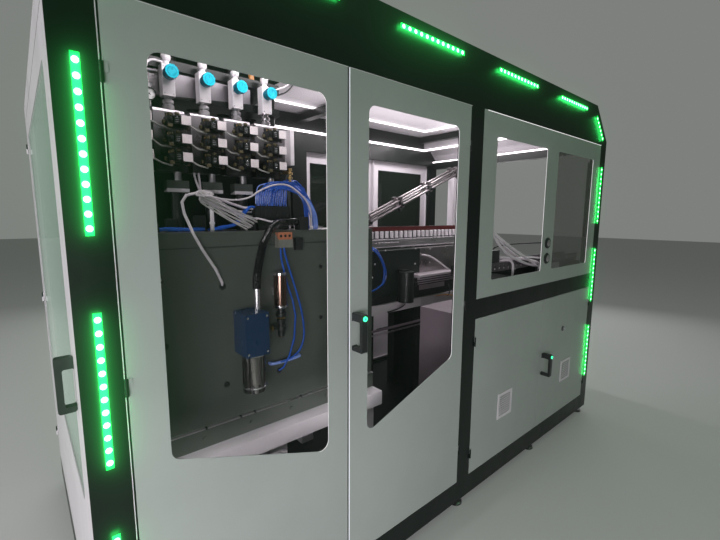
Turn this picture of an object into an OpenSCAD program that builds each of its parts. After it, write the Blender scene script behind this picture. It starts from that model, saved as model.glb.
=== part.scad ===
// Blow moulding machine in its guarded enclosure.
// The front looks towards -Y, the floor is at Z = 0 and the origin lies under the middle of the enclosure.

/* [Enclosure] */
// Width of the enclosure along X
body_w = 3200; // [2600:10:3900]
// Depth of the enclosure along Y
body_d = 1600; // [1300:10:2000]
// Height of the roof above the floor
body_h = 2259; // [2000:1:2720]
// Size of the 45 degree cut at both top corners
corner_cut = 215; // [120:1:240]
// Height of the band above the doors
top_band_h = 246; // [200:1:320]
// Underside of the base band
base_low = 46; // [40:1:80]
// Top of the base band, where the doors begin
base_top = 154; // [120:1:200]
// Visible width of both end columns
column_w = 96; // [70:1:130]
// Centre of the column between both bays
mid_x = -19.5; // [-200:0.5:200]
// Visible width of the column between both bays
mid_w = 101; // [80:1:140]
// Underside of the band between cabinet and control panel
band_low = 1003; // [900:1:1100]
// Height of the band between cabinet and control panel
band_h = 99; // [70:1:140]
// Depth of the frame sections
frame_t = 60; // [50:1:90]
// Width of the lip behind each door
lip_w = 14; // [10:1:25]
// Thickness of the roof and wall sheets
sheet_t = 3; // [2:0.5:5]

/* [Doors] */
// Depth of a folded door leaf
door_t = 28; // [20:1:40]
// Sheet of a door leaf
skin_t = 2; // [1.5:0.5:4]
// Gap around each door
door_gap = 3; // [2:0.5:5]
// Thickness of the window panes
pane_t = 5; // [3:0.5:8]
// How far a pane reaches behind its door skin
pane_lap = 14; // [8:1:20]
// Side margin between door edge and window
window_side = 92; // [60:1:130]
// Margin between door top and window
window_head = 108; // [80:1:150]
// Lowest corner of the sloping windows above the base band
window_low = 504; // [400:1:700]
// Rise of the sloping window bottoms
window_rise = 190; // [0:1:260]
// Radius of the window corners
window_r = 32; // [10:1:60]
// Barrel radius of the door hinges
hinge_r = 4.5; // [4:0.5:10]
// Length of one hinge barrel
hinge_len = 46; // [30:1:80]

/* [Handles] */
// Height of the grip of a bridge handle
grip_len = 144; // [100:1:200]
// Reach of a front handle
grip_reach = 60; // [45:1:80]
// Reach of the handle on the end door
end_grip_reach = 40; // [30:1:60]
// Width of a handle bar
grip_w = 24; // [16:1:32]
// Thickness of a handle bar
grip_t = 15; // [10:1:24]
// Travel of the push buttons
button_travel = 3; // [1:0.5:5]
// Radius of the lit button in a handle
lit_button_r = 9; // [6:0.5:11]
// Running clearance around buttons and pins
run_gap = 0.3; // [0.1:0.1:1]

/* [Control panel] */
// Width of both openings in the control panel
port_w = 540; // [400:1:620]
// Margin between column and outer edge of an opening
port_side = 126; // [90:1:160]
// Height of the port sill above the middle band
port_sill = 86; // [50:1:140]
// Margin above the ports
port_head = 112; // [80:1:150]
// Radius of the ring around a push button
ring_r = 33; // [24:1:40]
// Radius of the push button cap
cap_r = 20; // [14:1:23]
// Height of the lower button above the port sill
button_low_z = 71; // [50:1:120]
// Spacing of both push buttons
button_pitch = 94; // [80:1:120]

/* [Cabinet] */
// Depth of the electrical cabinet
cabinet_d = 300; // [220:5:400]
// Side of a square vent grille
vent_size = 150; // [110:1:200]
// Height of the vent centres above the floor
vent_z = 449; // [350:1:600]
// Number of louvres in a vent
vent_slots = 9; // [5:1:12]
// Radius of the lock barrel
lock_r = 11; // [8:0.5:16]

/* [Light bars] */
// Length of a full light bar
bar_len = 400; // [300:10:440]
// Width of a light bar
bar_w = 18; // [12:1:30]
// Depth of the slot that holds a light bar
bar_t = 8; // [5:1:15]
// Distance from the outer edge to the centre of a bar
bar_inset = 48; // [40:1:60]

/* [Blow station] */
// Distance from the front face to the station plate
station_y = 300; // [260:5:360]
// Thickness of the station plates
plate_t = 25; // [15:1:40]
// Upper edge of the station plates
plate_top = 1455; // [1400:1:1550]
// Lower edge of the station plates
plate_low = 673; // [600:1:750]
// Distance between both station plates
plate_span = 560; // [520:5:700]
// Radius of the tie bars
tie_r = 25; // [18:1:35]
// Thickness of the platen behind each mould half
platen_t = 40; // [25:1:50]
// Radius of the rods that drive the platens
drive_r = 20; // [14:1:26]
// Spacing of cavities, valves and regulators
pitch = 122; // [116:1:135]
// Distance from the middle column to the last valve column
valve_x = 792; // [740:1:850]
// Height of one mould half
mould_h = 330; // [260:5:400]
// Thickness of one mould half
mould_t = 80; // [60:1:110]
// Opening stroke of each mould half
mould_stroke = 55; // [40:1:70]
// Stroke of the stretch rods
stretch_stroke = 180; // [120:5:200]
// Radius of a stretch rod
rod_r = 7; // [5:0.5:10]
// Radius of the posts that guide the stretch carriage
post_r = 20; // [14:1:24]

/* [Pneumatics] */
// Height of the middle valve row
valve_z = 1768; // [1740:1:1800]
// Spacing of the valve rows
row_pitch = 60; // [54:1:70]
// Side of a solenoid coil
coil = 34; // [28:1:40]
// Radius of a regulator knob
knob_r = 22; // [16:1:28]
// Radius of the recovery hose
hose_r = 15; // [10:1:20]

/* [Conveyor] */
// Distance from the front face to the conveyor rail
rail_y = 1015; // [960:5:1050]
// Top face of the conveyor rail
rail_z = 1343; // [1320:1:1400]
// Spacing of the preform mandrels
mandrel_pitch = 50.8; // [44:0.1:60]
// Radius of a mandrel
mandrel_r = 14; // [10:0.5:18]
// Height of a mandrel
mandrel_h = 55; // [40:1:60]
// Height of the conveyor rail
rail_h = 60; // [50:1:66]
// Slope of the preform chute
chute_angle = 22; // [15:1:28]
// Radius of a chute rod
chute_rod_r = 9; // [6:0.5:14]

/* [Hidden] */
$fn = 48;
eps = 0.01;

// Colours
paint_black = [0.05, 0.06, 0.06];
paint_grey = [0.72, 0.75, 0.74];
paint_white = [0.88, 0.87, 0.88];
plate_grey = [0.45, 0.48, 0.45];
alloy = [0.78, 0.79, 0.8];
steel = [0.62, 0.63, 0.65];
dark = [0.1, 0.12, 0.11];
cyan = [0.1, 0.72, 0.8];
glow = [0.25, 1, 0.5];

// Outer planes of the enclosure
x_half = body_w / 2;
y_front = -body_d / 2;
y_back = body_d / 2;
door_top = body_h - top_band_h;
band_top = band_low + band_h;

// Inner edges of the bays
left_x0 = -x_half + column_w;
left_x1 = mid_x - mid_w / 2;
right_x0 = mid_x + mid_w / 2;
right_x1 = x_half - column_w;
left_mid = (left_x0 + left_x1) / 2;
right_mid = (right_x0 + right_x1) / 2;
frame_y = y_front + frame_t;
lip_y = y_front + door_t + run_gap;

// Window of a tall door, given by its left and right edge
window_top = door_top - window_head;
window_bottom = base_top + window_low;

// Blow station
cavities = 4;
valve_rows = 3;
plate_y = y_front + station_y;
rear_plate_y = plate_y + plate_span;
cavity_y = plate_y + plate_span / 2 + plate_t / 2;
station_x0 = left_x0 + 40;
station_x1 = left_x1 - 330;
last_x = left_x1 - valve_x;
first_x = last_x - (cavities - 1) * pitch;
station_mid = (station_x0 + station_x1) / 2;
bed_top = plate_low;
mould_w = cavities * pitch + 60;
mould_mid = (first_x + last_x) / 2;
mould_z0 = plate_low + 242;
tie_x = mould_w / 2 + 60;
tie_low = mould_z0 + 45;
tie_high = mould_z0 + mould_h - 45;
manifold_y = plate_y + 100;

// Conveyor
conv_y = y_front + rail_y;
conv_x0 = right_x0 + 30;
mandrel_count = 25;
conv_len = mandrel_count * mandrel_pitch + 40;
conv_x1 = conv_x0 + conv_len;
oven_x = [conv_x0 + 560, conv_x1 + 20];
oven_y = [conv_y - 130, conv_y + 130];
oven_low = 948;
channel_z = 1050;
oven_top = rail_z - rail_h - 13;

// Block between two opposite corners
module slab(a, b) {
    translate(a)
        cube(b - a);
}

// Sheet in the X-Z plane between y0 and y0 + t
module upright(y0, t) {
    translate([0, y0 + t, 0])
        rotate([90, 0, 0])
            linear_extrude(t)
                children();
}

// Sheet in the Y-Z plane between x0 and x0 + t, drawn with Y along the first axis
module crosswise(x0, t) {
    translate([x0, 0, 0])
        rotate([90, 0, 90])
            linear_extrude(t)
                children();
}

function unit(v) = v / norm(v);
function corner_dir(p, i, step) = unit(p[(i + step + len(p)) % len(p)] - p[i]);
function half_angle(p, i) = acos(corner_dir(p, i, -1) * corner_dir(p, i, 1)) / 2;

// Convex outline with true arcs at its corners
module round_outline(p, r) {
    reach = [for (i = [0 : len(p) - 1]) r / tan(half_angle(p, i))];
    polygon([for (i = [0 : len(p) - 1]) for (s = [-1, 1]) p[i] + corner_dir(p, i, s) * reach[i]]);
    for (i = [0 : len(p) - 1])
        translate(p[i] + unit(corner_dir(p, i, -1) + corner_dir(p, i, 1)) * r / sin(half_angle(p, i)))
            circle(r);
}

module round_rect(x0, z0, x1, z1, r) {
    round_outline([[x0, z0], [x1, z0], [x1, z1], [x0, z1]], r);
}

// Tube swept along a route, with rings of n points square to the route
function tangent(p, i) = unit(p[min(i + 1, len(p) - 1)] - p[max(i - 1, 0)]);
function ring(p, i, r, n, ref) =
    let (t = tangent(p, i), a = unit(cross(t, ref)), b = cross(t, a))
    [for (k = [0 : n - 1]) p[i] + r * (cos(360 * k / n) * a + sin(360 * k / n) * b)];
module tube(p, r, n = 8, ref = [0, 1, 0]) {
    last = (len(p) - 1) * n;
    polyhedron(
        points = [for (i = [0 : len(p) - 1]) each ring(p, i, r, n, ref)],
        faces = [
            [for (k = [0 : n - 1]) k],
            [for (k = [0 : n - 1]) last + n - 1 - k],
            for (i = [0 : len(p) - 2]) for (k = [0 : n - 1])
                each [[i * n + k, (i + 1) * n + k, (i + 1) * n + (k + 1) % n],
                    [i * n + k, (i + 1) * n + (k + 1) % n, i * n + (k + 1) % n]]
        ]
    );
}

// Portal outline of the enclosure above its base
module portal() {
    polygon([[-x_half, base_top], [x_half, base_top], [x_half, body_h - corner_cut],
        [x_half - corner_cut, body_h], [corner_cut - x_half, body_h], [-x_half, body_h - corner_cut]]);
}

// Bay openings in a portal, grown or shrunk by g
module bays(g) {
    translate([left_x0 + g, base_top + g - (g == 0 ? 1 : 0)])
        square([left_x1 - left_x0 - 2 * g, door_top - base_top - 2 * g + (g == 0 ? 1 : 0)]);
    translate([right_x0 + g, band_top + g])
        square([right_x1 - right_x0 - 2 * g, door_top - band_top - 2 * g]);
    translate([right_x0 + g, base_top + g - (g == 0 ? 1 : 0)])
        square([right_x1 - right_x0 - 2 * g, band_low - base_top - 2 * g + (g == 0 ? 1 : 0)]);
}

// Slots for the light bars: columns, top band and both corner cuts
bar_low_z = base_top + 346;
bar_high_z = body_h - corner_cut - 379;
column_bars = [bar_low_z, (bar_low_z + bar_high_z) / 2, bar_high_z];
top_bars = [-0.64, -0.213, 0.213, 0.64];
cut_bar = bar_len / 2;
module bar_shapes(grow = 0) {
    w = bar_w + 2 * grow;
    for (side = [-1, 1])
        for (z = column_bars)
            translate([side * (x_half - bar_inset) - w / 2, z - bar_len / 2 - grow])
                square([w, bar_len + 2 * grow]);
    for (f = top_bars)
        translate([f * x_half - bar_len / 2 - grow, body_h - bar_inset - w / 2])
            square([bar_len + 2 * grow, w]);
    for (side = [-1, 1])
        translate([side * (x_half - corner_cut / 2), body_h - corner_cut / 2])
            rotate(-side * 45)
                translate([-cut_bar / 2 - grow, -bar_inset - w / 2])
                    square([cut_bar + 2 * grow, w]);
}

module base_frame() {
    color(paint_black) {
        // Outer ring of tube, with cross members under the machine
        difference() {
            slab([-x_half, y_front, base_low], [x_half, y_back, base_top]);
            slab([-x_half + 80, y_front + 80, base_low - 1], [x_half - 80, y_back - 80, base_top + 1]);
        }
        for (x = [left_mid, mid_x, right_mid])
            slab([x - 40, y_front + 79, base_low], [x + 40, y_back - 79, base_top - 12]);
    }
    // Floor tray under both bays
    color(dark)
        slab([-x_half + 79, y_front + 79, base_top - 12], [x_half - 79, y_back - 79, base_top - 12 + sheet_t]);
}

foot_x = [-x_half + 50, left_mid, mid_x, right_mid, x_half - 50];
foot_r = 38;
module levelling_feet() {
    color(steel)
        for (x = foot_x)
            for (y = [y_front + 45, y_back - 45])
                translate([x, y, 0])
                    rotate_extrude()
                        polygon([[0, 0], [foot_r, 0], [foot_r, 7], [24, 14], [10, 16], [10, 24], [17, 24], [17, 36],
                            [10, 36], [10, base_low], [0, base_low]]);
}

module front_frame() {
    color(paint_black) {
        difference() {
            upright(y_front, lip_y - y_front)
                difference() {
                    portal();
                    bays(0);
                }
            upright(y_front - 1, bar_t + 1)
                bar_shapes(0.5);
        }
        upright(lip_y, frame_t - (lip_y - y_front))
            difference() {
                portal();
                bays(lip_w);
            }
    }
    // Hinge barrels of the doors, half of each pair
    color(dark)
        for (z = hinge_z(base_top, door_top))
            for (x = [left_x0, left_x1])
                hinge_half(x, z);
    color(dark)
        for (z = cabinet_hinge_z)
            for (x = [right_x0, right_x1])
                hinge_half(x, z);
}

// Centres of the hinges on a door
function hinge_z(low, high) = [low + 180, (low + high) / 2, high - 180];
cabinet_hinge_z = [base_top + 120, band_low - 120];
hinge_gap = 0.5;

// Fixed lower half of a hinge barrel, with its pin reaching up into the moving half
module hinge_half(x, z) {
    y = y_front - hinge_r;
    translate([x, y, z - hinge_len / 2])
        cylinder(r = hinge_r, h = hinge_len / 2);
    slab([x - 1.2, y, z - hinge_len / 2], [x + 1.2, y_front + eps, z]);
    translate([x, y, z - eps])
        cylinder(r = hinge_r / 2, h = hinge_len / 2 - 4);
}

// Moving upper half, bored for the pin
module hinge_leaf(x, z, side) {
    y = y_front - hinge_r;
    difference() {
        union() {
            translate([x, y, z + hinge_gap])
                cylinder(r = hinge_r, h = hinge_len / 2);
            translate([side > 0 ? x : x - 14, y_front - 3, z + hinge_gap])
                cube([14, 3 + eps, hinge_len / 2]);
        }
        translate([x, y, z - 1])
            cylinder(r = hinge_r / 2 + 0.05, h = hinge_len);
    }
}

module rear_frame() {
    color(paint_black) {
        upright(y_back - (lip_y - y_front), lip_y - y_front)
            difference() {
                portal();
                rear_bays(0);
            }
        upright(y_back - frame_t, frame_t - (lip_y - y_front))
            difference() {
                portal();
                rear_bays(lip_w);
            }
    }
    // Rails that tie the front and rear portals together
    color(paint_black) {
        for (s = [-1, 1]) {
            translate([s * (x_half - 30) - 30, frame_y, body_h - corner_cut - 70])
                cube([60, body_d - 2 * frame_t, 60]);
            translate([s * (x_half - corner_cut - 40) - 25, frame_y, body_h - 60])
                cube([50, body_d - 2 * frame_t, 50]);
        }
        slab([mid_x - 30, frame_y, body_h - 66], [mid_x + 30, y_back - frame_t, body_h - 16]);
        // Sill rail of the open right end
        slab([x_half - 60, frame_y, band_low], [x_half, y_back - frame_t, band_low + 60]);
    }
    color(dark) {
        for (z = hinge_z(base_top, door_top))
            for (x = [right_x0, right_x1])
                mirror([0, 1, 0])
                    hinge_half(x, z);
        // Hinges of the end door
        for (z = hinge_z(base_top, door_top))
            end_hinge_half(z);
    }
}

// Openings of the rear portal
module rear_bays(g) {
    for (b = [[left_x0, left_x1], [right_x0, right_x1]])
        translate([b[0] + g, base_top + g - (g == 0 ? 1 : 0)])
            square([b[1] - b[0] - 2 * g, door_top - base_top - 2 * g + (g == 0 ? 1 : 0)]);
}

// The roof and both sloping corners are one folded sheet, with an inner side sheet on the right
side_x = x_half - 201;
module roof_cover() {
    s = sheet_t;
    k = s * tan(22.5);
    slope = x_half + body_h - corner_cut - s * sqrt(2) + eps;
    color(paint_white)
        upright(frame_y + 60, y_back - frame_t - frame_y - 60)
            polygon([[side_x, body_h - 130], [side_x + s, body_h - 130], [side_x + s, slope - side_x - s],
                [side_x, slope - side_x]]);
    color(paint_white)
        upright(y_front + frame_t, body_d - 2 * frame_t)
            polygon([
                [-x_half, body_h - corner_cut], [corner_cut - x_half, body_h], [x_half - corner_cut, body_h],
                [x_half, body_h - corner_cut], [x_half - s, body_h - corner_cut - 10 + s],
                [x_half - s, body_h - corner_cut - k], [x_half - corner_cut - k, body_h - s],
                [corner_cut - x_half + k, body_h - s], [s - x_half, body_h - corner_cut - k],
                [s - x_half, body_h - corner_cut - 10 + s]
            ]);
}

module right_end_panel() {
    color(paint_grey)
        difference() {
            slab([x_half - 24, frame_y, base_top], [x_half, y_back - frame_t, band_low]);
            slab([x_half - 25, frame_y + 20, base_top + 20],
                [x_half - sheet_t, y_back - frame_t - 20, band_low - 20]);
        }
}

module rear_panel() {
    color(paint_grey)
        difference() {
            slab([left_x0 + 1, y_back - door_t, base_top + 1], [left_x1 - 1, y_back, door_top - 1]);
            slab([left_x0 + 20, y_back - door_t - 1, base_top + 20],
                [left_x1 - 20, y_back - sheet_t, door_top - 20]);
        }
}

module led_bars() {
    color(glow)
        upright(y_front + 0.5, bar_t - 0.5)
            bar_shapes();
}

// Light strips under the roof, along the rear portal, on the inner side sheet and on the right rail
strip_w = 18;
strip_t = 12;
strip_y = y_back - 290;
strip_x = [left_x1 - 415, x_half - corner_cut - 225];
strip_z = body_h - 130;
module work_lights() {
    color("white") {
        slab([strip_x[0], strip_y, body_h - sheet_t - strip_t],
            [strip_x[1], strip_y + strip_w, body_h - sheet_t]);
        slab([strip_x[1] - strip_w, frame_y + 120, body_h - sheet_t - strip_t],
            [strip_x[1], strip_y, body_h - sheet_t]);
        slab([130 - x_half, y_back - frame_t - strip_t, strip_z],
            [side_x - strip_t, y_back - frame_t, strip_z + strip_w]);
        slab([side_x - strip_t, frame_y + 60, strip_z], [side_x, y_back - frame_t, strip_z + strip_w]);
        slab([x_half - 60, frame_y + 60, body_h - corner_cut - 10],
            [x_half - 60 + strip_w, y_back - frame_t, body_h - corner_cut - 10 + strip_t]);
    }
}

// Outline of one port, 0 on the left and 1 on the right
function port_x(i) = i == 0 ? right_x0 + port_side : right_x1 - port_side - port_w + 7;
port_z0 = band_top + port_sill;
port_z1 = door_top - port_head;
button_x = (port_x(0) + port_w + port_x(1)) / 2 - 3;
module control_panel() {
    color(paint_grey)
        difference() {
            slab([right_x0 + 0.5, y_front, band_top + 0.5], [right_x1 - 0.5, y_front + door_t, door_top - 0.5]);
            slab([right_x0 + 20, y_front + skin_t, band_top + 20],
                [right_x1 - 20, y_front + door_t + 1, door_top - 20]);
            upright(y_front - 1, skin_t + 2)
                for (i = [0, 1])
                    round_rect(port_x(i), port_z0, port_x(i) + port_w, port_z1, 12);
            for (k = [0, 1])
                translate([button_x, y_front - 1, port_z0 + button_low_z + k * button_pitch])
                    rotate([-90, 0, 0])
                        cylinder(r = cap_r + run_gap, h = skin_t + 2);
        }
    // Black rings around both push buttons
    color(dark)
        for (k = [0, 1])
            translate([button_x, y_front, port_z0 + button_low_z + k * button_pitch])
                rotate([90, 0, 0])
                    rotate_extrude()
                        polygon([[cap_r + run_gap, -eps], [ring_r, -eps], [ring_r, 4], [ring_r - 4, 8],
                            [cap_r + run_gap, 8]]);
}

module smoked_pane() {
    color([0.2, 0.22, 0.2, 0.5])
        slab([port_x(1) - pane_lap, y_front + skin_t, port_z0 - pane_lap],
            [port_x(1) + port_w + pane_lap, y_front + skin_t + pane_t, port_z1 + pane_lap]);
}

// Push button with a domed cap and a stem behind the panel
module panel_button(k, tint) {
    translate([button_x, y_front, port_z0 + button_low_z + k * button_pitch])
        rotate([90, 0, 0])
            color(tint)
                rotate_extrude()
                    polygon([[0, -30], [8, -30], [8, -8], [cap_r, -8], [cap_r, 10], [cap_r - 3, 12], [0, 13]]);
}
module start_button() {
    panel_button(1, alloy);
}
module stop_button() {
    panel_button(0, alloy);
}

// Outline of a tall window; the low side of its bottom edge is on the left or on the right
function tall_window(x0, x1, low_left) = [
    [x0, window_bottom + (low_left ? 0 : window_rise)],
    [x1, window_bottom + (low_left ? window_rise : 0)],
    [x1, window_top], [x0, window_top]
];

// Folded door leaf with a window; side is the hinge side, -1 left and 1 right
module leaf(x0, x1, z0, z1, y, dir) {
    y0 = min(y, y + dir * door_t);
    open_y = dir > 0 ? y0 + skin_t : y0 - 1;
    difference() {
        slab([x0, y0, z0], [x1, y0 + door_t, z1]);
        slab([x0 + skin_t, open_y, z0 + skin_t], [x1 - skin_t, open_y + door_t - skin_t + 1, z1 - skin_t]);
        upright(y0 - 1, door_t + 2)
            children();
    }
}

door1_x = [left_x0 + door_gap, left_mid - door_gap / 2];
door2_x = [left_mid + door_gap / 2, left_x1 - door_gap];
window1 = tall_window(door1_x[0] + window_side, door1_x[1] - window_side, false);
window2 = tall_window(door2_x[0] + window_side, door2_x[1] - window_side + 8, true);

module front_door_left() {
    color(paint_grey)
        leaf(door1_x[0], door1_x[1], base_top + door_gap, door_top - door_gap, y_front, 1)
            round_outline(window1, window_r);
    color(dark)
        for (z = hinge_z(base_top, door_top))
            hinge_leaf(left_x0, z, 1);
}

module front_door_right() {
    color(paint_grey)
        leaf(door2_x[0], door2_x[1], base_top + door_gap, door_top - door_gap, y_front, 1)
            round_outline(window2, window_r);
    color(dark)
        for (z = hinge_z(base_top, door_top))
            hinge_leaf(left_x1, z, -1);
}

// Pane a little larger than its window, behind the skin
module pane_behind(w, y0) {
    upright(y0, pane_t)
        polygon([w[0] + [-pane_lap, -pane_lap], w[1] + [pane_lap, -pane_lap],
            w[2] + [pane_lap, pane_lap], w[3] + [-pane_lap, pane_lap]]);
}
module front_pane_left() {
    color([0.6, 0.68, 0.66, 0.25])
        pane_behind(window1, y_front + skin_t);
}
module front_pane_right() {
    color([0.6, 0.68, 0.66, 0.25])
        pane_behind(window2, y_front + skin_t);
}

// Bridge handle: two feet and a grip with rounded corners, standing off by reach along -Y
module bridge(reach) {
    difference() {
        rotate([90, 0, 90])
            translate([0, 0, -grip_w / 2])
                linear_extrude(grip_w)
                    difference() {
                        round_outline([[-reach, 0], [0, 0], [0, grip_len], [-reach, grip_len]], 7);
                        round_outline([[-reach + grip_t, grip_t], [0.5, grip_t], [0.5, grip_len - 2 * grip_t],
                            [-reach + grip_t, grip_len - 2 * grip_t]], 5);
                    }
        translate([0, -reach + grip_t + button_travel, grip_len - grip_t])
            rotate([90, 0, 0])
                cylinder(r = lit_button_r + run_gap, h = reach);
    }
}
module lit_button(reach) {
    translate([0, -reach + grip_t - run_gap, grip_len - grip_t])
        rotate([90, 0, 0])
            cylinder(r = lit_button_r, h = grip_t + button_travel);
}
grip_z = 1018;
grip_side = 26;
handle1_at = [door2_x[0] + grip_side, y_front, grip_z];
module front_handle() {
    color(dark)
        translate(handle1_at)
            bridge(grip_reach);
}
module front_button() {
    color(glow)
        translate(handle1_at)
            lit_button(grip_reach);
}

cab1_x = [right_x0 + door_gap, right_mid - door_gap / 2];
cab2_x = [right_mid + door_gap / 2, right_x1 - door_gap];
cab_z = [base_top + door_gap, band_low - door_gap];
cabinet_grip_z = 506;
vent_side = [333, 405];
vent_x = [right_x0 + vent_side[0], right_mid + vent_side[1]];
lock_side = 318;
lock_drop = 245;
lock_at = [right_mid + lock_side, y_front, band_low - lock_drop];

// Square grille with slanted louvres in a frame
module vent(x) {
    o = vent_size / 2;
    step = (vent_size - 30) / vent_slots;
    difference() {
        slab([x - o, y_front - 4, vent_z - o], [x + o, y_front + skin_t, vent_z + o]);
        for (k = [0 : vent_slots - 1])
            translate([x - o + 14, y_front - 5, vent_z - o + 18 + k * step])
                cube([vent_size - 28, skin_t + 8, step * 0.45]);
    }
}
module cabinet_leaf(x, vx) {
    leaf(x[0], x[1], cab_z[0], cab_z[1], y_front, 1) {
        translate([vx - vent_size / 2 + 4, vent_z - vent_size / 2 + 4])
            square(vent_size - 8);
        if (x[0] > right_mid)
            translate([lock_at[0], lock_at[2]])
                circle(lock_r + run_gap);
    }
}
module cabinet_door_left() {
    color(paint_grey)
        cabinet_leaf(cab1_x, vent_x[0]);
    color(paint_white)
        vent(vent_x[0]);
    color(dark)
        for (z = cabinet_hinge_z)
            hinge_leaf(right_x0, z, 1);
}
module cabinet_door_right() {
    color(paint_grey)
        cabinet_leaf(cab2_x, vent_x[1]);
    color(paint_white)
        vent(vent_x[1]);
    color(dark)
        for (z = cabinet_hinge_z)
            hinge_leaf(right_x1, z, -1);
}
far_grip_side = 38;
handle2_at = [cab2_x[0] + far_grip_side, y_front, cabinet_grip_z];
module cabinet_handle() {
    color(dark)
        translate(handle2_at)
            bridge(grip_reach);
}
module cabinet_button() {
    color(glow)
        translate(handle2_at)
            lit_button(grip_reach);
}
// Lock barrel with a flange, a wing to turn it and a cam behind the door
module cam_lock() {
    color(steel)
        translate(lock_at) {
            rotate([90, 0, 0])
                rotate_extrude()
                    polygon([[0, -24], [lock_r, -24], [lock_r, run_gap], [lock_r + 5, run_gap],
                        [lock_r + 4, 5], [0, 6]]);
            translate([-3, -16, -lock_r])
                cube([6, 11, 2 * lock_r]);
            translate([-lock_r, 24 - eps, -45])
                cube([2 * lock_r, 3, 45 + lock_r]);
        }
}

rear1_x = [right_x0 + door_gap, right_mid - door_gap / 2];
rear2_x = [right_mid + door_gap / 2, right_x1 - door_gap];
function plain_window(x) = [[x[0] + window_side, window_bottom], [x[1] - window_side, window_bottom],
    [x[1] - window_side, window_top], [x[0] + window_side, window_top]];
module rear_leaf(x) {
    leaf(x[0], x[1], base_top + door_gap, door_top - door_gap, y_back, -1)
        round_outline(plain_window(x), window_r);
}
module rear_door_left() {
    color(paint_white)
        rear_leaf(rear1_x);
    color(dark)
        for (z = hinge_z(base_top, door_top))
            mirror([0, 1, 0])
                hinge_leaf(right_x0, z, 1);
}
module rear_door_right() {
    color(paint_white)
        rear_leaf(rear2_x);
    color(dark) {
        for (z = hinge_z(base_top, door_top))
            mirror([0, 1, 0])
                hinge_leaf(right_x1, z, -1);
        translate([rear2_x[0] + grip_side, y_back, grip_z])
            rotate([0, 0, 180])
                bridge(grip_reach);
    }
}
module rear_pane_left() {
    color([0.6, 0.68, 0.66, 0.25])
        pane_behind(plain_window(rear1_x), y_back - skin_t - pane_t);
}
module rear_pane_right() {
    color([0.6, 0.68, 0.66, 0.25])
        pane_behind(plain_window(rear2_x), y_back - skin_t - pane_t);
}

// Door of the left end, hinged at its rear edge
end_y = [y_front + frame_t + door_gap, y_back - frame_t - door_gap];
end_z = [base_top + door_gap, body_h - corner_cut - 70 - door_gap];
end_window = [[end_y[0] + 75, window_bottom + 70], [end_y[1] - 75, window_bottom + 70],
    [end_y[1] - 75, end_z[1] - 90], [end_y[0] + 75, end_z[1] - 90]];
end_hinge_x = -x_half - hinge_r;
end_hinge_y = end_y[1] + door_gap;
module end_hinge_half(z) {
    translate([end_hinge_x, end_hinge_y, z - hinge_len / 2])
        cylinder(r = hinge_r, h = hinge_len / 2);
    slab([end_hinge_x, end_hinge_y - 1.2, z - hinge_len / 2], [-x_half + eps, end_hinge_y + 1.2, z]);
    translate([end_hinge_x, end_hinge_y, z - eps])
        cylinder(r = hinge_r / 2, h = hinge_len / 2 - 4);
}
module end_door() {
    color(paint_white)
        difference() {
            slab([-x_half, end_y[0], end_z[0]], [-x_half + door_t, end_y[1], end_z[1]]);
            slab([-x_half + skin_t, end_y[0] + skin_t, end_z[0] + skin_t],
                [-x_half + door_t + 1, end_y[1] - skin_t, end_z[1] - skin_t]);
            crosswise(-x_half - 1, door_t + 2)
                round_outline(end_window, window_r);
        }
    color(dark)
        for (z = hinge_z(base_top, door_top))
            difference() {
                union() {
                    translate([end_hinge_x, end_hinge_y, z + hinge_gap])
                        cylinder(r = hinge_r, h = hinge_len / 2);
                    translate([-x_half - 3, end_hinge_y - 16, z + hinge_gap])
                        cube([3 + eps, 16, hinge_len / 2]);
                }
                translate([end_hinge_x, end_hinge_y, z - 1])
                    cylinder(r = hinge_r / 2 + 0.05, h = hinge_len);
            }
}
module end_pane() {
    color([0.6, 0.68, 0.66, 0.25])
        slab([-x_half + skin_t, end_window[0][0] - pane_lap, end_window[0][1] - pane_lap],
            [-x_half + skin_t + pane_t, end_window[1][0] + pane_lap, end_window[2][1] + pane_lap]);
}
module end_handle() {
    color(dark)
        translate([-x_half, end_y[0] + far_grip_side, grip_z])
            rotate([0, 0, -90])
                bridge(end_grip_reach);
}

// Electrical cabinet behind the lower doors: an open box with a mounting plate
cab_y1 = frame_y + cabinet_d;
module electrical_box() {
    color([0.36, 0.32, 0.34])
        difference() {
            slab([right_x0, frame_y, base_top], [right_x1, cab_y1, band_low]);
            slab([right_x0 + sheet_t, frame_y - 1, base_top + sheet_t],
                [right_x1 - sheet_t, cab_y1 - sheet_t, band_low - sheet_t]);
        }
    color(alloy)
        slab([right_x0 + 60, cab_y1 - 30, base_top + 60], [right_x1 - 60, cab_y1 - sheet_t, band_low - 60]);
}

// Slotted cable tray behind the control panel
tray_y = frame_y + 40;
tray_w = 90;
tray_z = band_top + 98;
tray_h = 50;
tray_x = [right_x0 + 40, right_x1 - 20];
slot_pitch = 50;
module cable_tray() {
    color(alloy)
        difference() {
            slab([tray_x[0], tray_y, tray_z], [tray_x[1], tray_y + tray_w, tray_z + tray_h]);
            slab([tray_x[0] - 1, tray_y + 2, tray_z + 2],
                [tray_x[1] + 1, tray_y + tray_w - 2, tray_z + tray_h + 1]);
            for (k = [0 : floor((tray_x[1] - tray_x[0] - 60) / slot_pitch)])
                translate([tray_x[0] + 30 + k * slot_pitch, tray_y - 1, tray_z + 14])
                    cube([14, tray_w + 2, 22]);
        }
    // Brackets that carry the tray on the middle band
    color(paint_black)
        for (x = [tray_x[0] + 60, (tray_x[0] + tray_x[1]) / 2, tray_x[1] - 60])
            slab([x - 15, frame_y, band_top - 40], [x + 15, tray_y + tray_w, tray_z]);
}

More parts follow.
